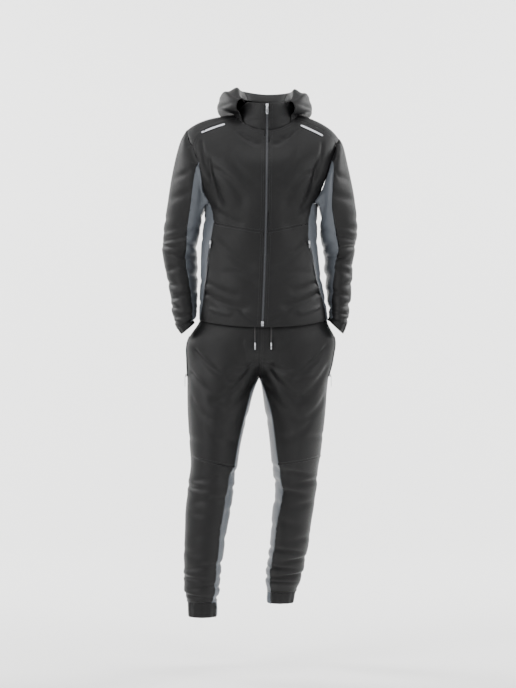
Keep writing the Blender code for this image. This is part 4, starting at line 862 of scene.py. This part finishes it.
for node in ("jacket_front", "jacket_pocket_R", "jacket_pocket_L", "jogger_pocket_R", "jogger_pocket_L"):
    keep(eyed_tab(f"{node}_eyed_pull", f"{node}_pull", 0.35, -0.78), f"{node}_pull", "zip_metal",
         f"{node}_pull")
low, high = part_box("jacket_zip_box")
box_piece = metal_block("zip_box_cast", low, high, 0.86, 0.0006)
keep(box_piece, "garment", "zip_metal", "jacket_zip_box")
low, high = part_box("jacket_front_slider")
body = metal_block("front_slider_cast", low, high, 0.78, 0.0008)
keep(body, "garment", "zip_metal", "jacket_front_slider")


# Stitching: twin rows of black polyester thread beside the seams, stitches 3.5 mm long on the
# real jacket and drawn 4 mm, a little glossier than the knit so that each row catches the light
def polyester_thread(name, colour):
    """Filament thread: smooth, twisted, with a soft shine."""
    mat, tree, shader = new_material(name, Base_Color=srgb(colour), Roughness=0.38)
    place = add_node(tree, "ShaderNodeTexCoord").outputs["Object"]
    twist = add_node(tree, "ShaderNodeTexWave", {"Scale": 700.0}, {"Vector": place},
                     bands_direction="DIAGONAL")
    bump = add_node(tree, "ShaderNodeBump", {"Strength": 0.3, "Distance": 0.0001},
                    {"Height": twist.outputs["Fac"]})
    tree.links.new(bump.outputs[0], shader.inputs["Normal"])
    return mat


THREAD = polyester_thread("black_polyester_thread", "232326")
STITCH_PITCH, STITCH_LONG, STITCH_HALF = 0.0040, 0.0030, 0.00038
SEAM_TOUCH = 0.0058                # edges this close together are sewn


def seam_samples(node, other):
    """Points along the part of a piece's edge that is sewn to another piece, or all of it."""
    places, _, _, edges = SHEETS[node]
    ends = [(places[a], places[b]) for a, b in edges]
    if other:
        theirs, _, _, their_edges = SHEETS[other]
        rim = np.unique(their_edges)
        near = KDTree(len(rim))
        for k, index in enumerate(rim):
            near.insert(Vector(theirs[index]), k)
        near.balance()
        ends = [(a, b) for a, b in ends if near.find(Vector((a + b) / 2))[2] < SEAM_TOUCH]
    return [a + (b - a) * f for a, b in ends for f in (0.0, 0.25, 0.5, 0.75)]


def stitch_row(node, seam, inset):
    """Points and outward normals along the line this far in from a seam."""
    places, normals, triangles, _ = SHEETS[node]
    tree = KDTree(len(seam))
    for k, place in enumerate(seam):
        tree.insert(Vector(place), k)
    tree.balance()
    depth = np.array([tree.find(Vector(p))[2] for p in places]) - inset
    cuts = {}
    for triangle in triangles:
        crossed = []
        for a, b in ((0, 1), (1, 2), (2, 0)):
            i, j = int(triangle[a]), int(triangle[b])
            if (depth[i] < 0) != (depth[j] < 0):
                crossed.append((min(i, j), max(i, j)))
        if len(crossed) == 2:
            cuts.setdefault(crossed[0], []).append(crossed[1])
            cuts.setdefault(crossed[1], []).append(crossed[0])
    rows = []
    left = set(cuts)
    while left:
        start = next((k for k in sorted(left) if sum(n in left for n in cuts[k]) == 1), min(left))
        chain = [start]
        left.discard(start)
        while True:
            ahead = [k for k in cuts[chain[-1]] if k in left]
            if not ahead:
                break
            chain.append(ahead[0])
            left.discard(ahead[0])
        if len(chain) > 4:
            line, up = [], []
            for i, j in chain:
                f = depth[i] / (depth[i] - depth[j])
                line.append(places[i] + (places[j] - places[i]) * f)
                up.append(normals[i] + (normals[j] - normals[i]) * f)
            rows.append((np.array(line), np.array(up)))
    return rows


def sew(name, plan, thread):
    """All rows of a plan as one mesh of slim eight-sided stitches; a row is node, other, insets."""
    vertices, faces = [], []
    for node, other, insets in plan:
        seam = seam_samples(node, other)
        for inset in insets if seam else ():
            for line, up in stitch_row(node, seam, inset):
                run = np.concatenate([[0], np.cumsum(np.linalg.norm(np.diff(line, axis=0), axis=1))])
                marks = np.arange(STITCH_PITCH, run[-1] - STITCH_PITCH, STITCH_PITCH)
                for mark in marks:
                    ends = [np.array([np.interp(mark + d, run, line[:, k]) for k in range(3)])
                            for d in (-STITCH_LONG / 2, STITCH_LONG / 2)]
                    normal = np.array([np.interp(mark, run, up[:, k]) for k in range(3)])
                    normal /= np.linalg.norm(normal)
                    ahead = ends[1] - ends[0]
                    across = np.cross(normal, ahead)
                    across *= STITCH_HALF / max(np.linalg.norm(across), 1e-9)
                    rise = normal * STITCH_HALF
                    middle = (ends[0] + ends[1]) / 2
                    start = len(vertices)
                    vertices += [ends[0] - rise * 0.4, ends[1] - rise * 0.4, middle + across,
                                 middle + rise * 1.3, middle - across, middle - rise * 0.6]
                    for k in range(4):
                        m = (k + 1) % 4
                        faces.append((start, start + 2 + k, start + 2 + m))
                        faces.append((start + 1, start + 2 + m, start + 2 + k))
    obj = joined_mesh(name, vertices, faces, thread)
    turned_outward(obj)
    keep(obj, "garment", "black_knit")


TWIN, SINGLE = (0.0045, 0.0095), (0.004,)
jacket_plan, jogger_plan = [], []
for tag in ("R", "L"):
    front, lower, back = f"jacket_front_upper_{tag}", f"jacket_front_lower_{tag}", "jacket_back"
    jacket_plan += [
        (front, f"jacket_yoke_{tag}", SINGLE), (f"jacket_yoke_{tag}", front, TWIN),
        (f"jacket_yoke_{tag}", back, SINGLE), (front, lower, SINGLE), (lower, front, SINGLE),
        (front, "jacket_front_zip", TWIN), (lower, "jacket_front_zip", TWIN),
        (lower, f"jacket_side_panel_{tag}", SINGLE), (f"jacket_side_panel_{tag}", back, SINGLE),
        (f"jacket_sleeve_{tag}", f"jacket_sleeve_panel_{tag}", SINGLE),
        (f"jacket_sleeve_{tag}", front, SINGLE), (f"jacket_collar_{tag}", "jacket_front_zip", TWIN),
        (front, f"jacket_collar_{tag}", TWIN), (back, f"jacket_collar_{tag}", TWIN),
    ]
    leg = f"jogger_front_upper_{tag}"
    jogger_plan += [
        (leg, f"jogger_front_lower_{tag}", SINGLE), (f"jogger_front_lower_{tag}", leg, SINGLE),
        (leg, f"jogger_inseam_panel_{tag}", SINGLE), (f"jogger_back_{tag}", leg, SINGLE),
        (f"jogger_front_lower_{tag}", f"jogger_inseam_panel_{tag}", SINGLE),
        (leg, f"jogger_front_upper_{'L' if tag == 'R' else 'R'}", TWIN),
        (f"jogger_front_lower_{tag}", f"jogger_ankle_cuff_{tag}", SINGLE),
    ]
sew("jacket_stitching", jacket_plan, THREAD)
sew("jogger_stitching", jogger_plan, THREAD)


# Floor and light: a plain pale sheet that sweeps up behind, a large soft light either side, one
# low in front, one overhead and two at the rear that light the sheet
FLOOR_Z = -1.56
SWEEP = [(-7.0, 0.0), (3.2, 0.0)] + [
    (3.2 + 1.6 * math.sin(math.radians(a)), 1.6 - 1.6 * math.cos(math.radians(a)))
    for a in range(10, 91, 10)] + [(4.8, 6.0)]
vertices = [(x, y, FLOOR_Z + z) for y, z in SWEEP for x in (-9.0, 9.0)]
faces = [(2 * k, 2 * k + 1, 2 * k + 3, 2 * k + 2) for k in range(len(SWEEP) - 1)]
PAPER, _, _ = new_material("matt_white_paper", Base_Color=srgb("f4f4f3"), Roughness=0.9)
backdrop = joined_mesh("backdrop", vertices, faces, PAPER)
backdrop.data.shade_smooth()
SUIT_MIDDLE = (-0.02, 0.0, -0.6)
SHEET_MIDDLE = (-0.02, 4.6, -0.6)
# place, width and height, power in watts
for name, place, size, power in (("left", (-3.2, -3.0, 1.2), (2.2, 2.8), 200),
                                 ("right", (3.4, -2.6, 0.9), (2.2, 2.8), 140),
                                 ("front", (0.0, -5.5, 0.8), (3.0, 2.0), 50),
                                 ("top", (0.0, -0.4, 2.6), (3.0, 3.0), 90),
                                 ("rear left", (-3.4, 1.6, 1.6), (2.4, 2.4), 330),
                                 ("rear right", (3.4, 1.6, 1.6), (2.4, 2.4), 330)):
    lamp = bpy.data.lights.new(name, "AREA")
    lamp.shape = "RECTANGLE"
    lamp.size, lamp.size_y = size
    lamp.energy = power
    light = bpy.data.objects.new(name, lamp)
    light.location = place
    aim = Vector(SHEET_MIDDLE if name.startswith("rear") else SUIT_MIDDLE) - Vector(place)
    light.rotation_euler = aim.to_track_quat("-Z", "Y").to_euler()
    bpy.context.scene.collection.objects.link(light)
world = bpy.data.worlds.new("studio")
bpy.context.scene.world = world
world.use_nodes = True
world.node_tree.nodes["Background"].inputs["Color"].default_value = (1, 1, 1, 1)
world.node_tree.nodes["Background"].inputs["Strength"].default_value = 0.4

for name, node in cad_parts.items():
    if not node.hide_render:
        node.data.materials.clear()
        node.data.materials.append(ZINC)
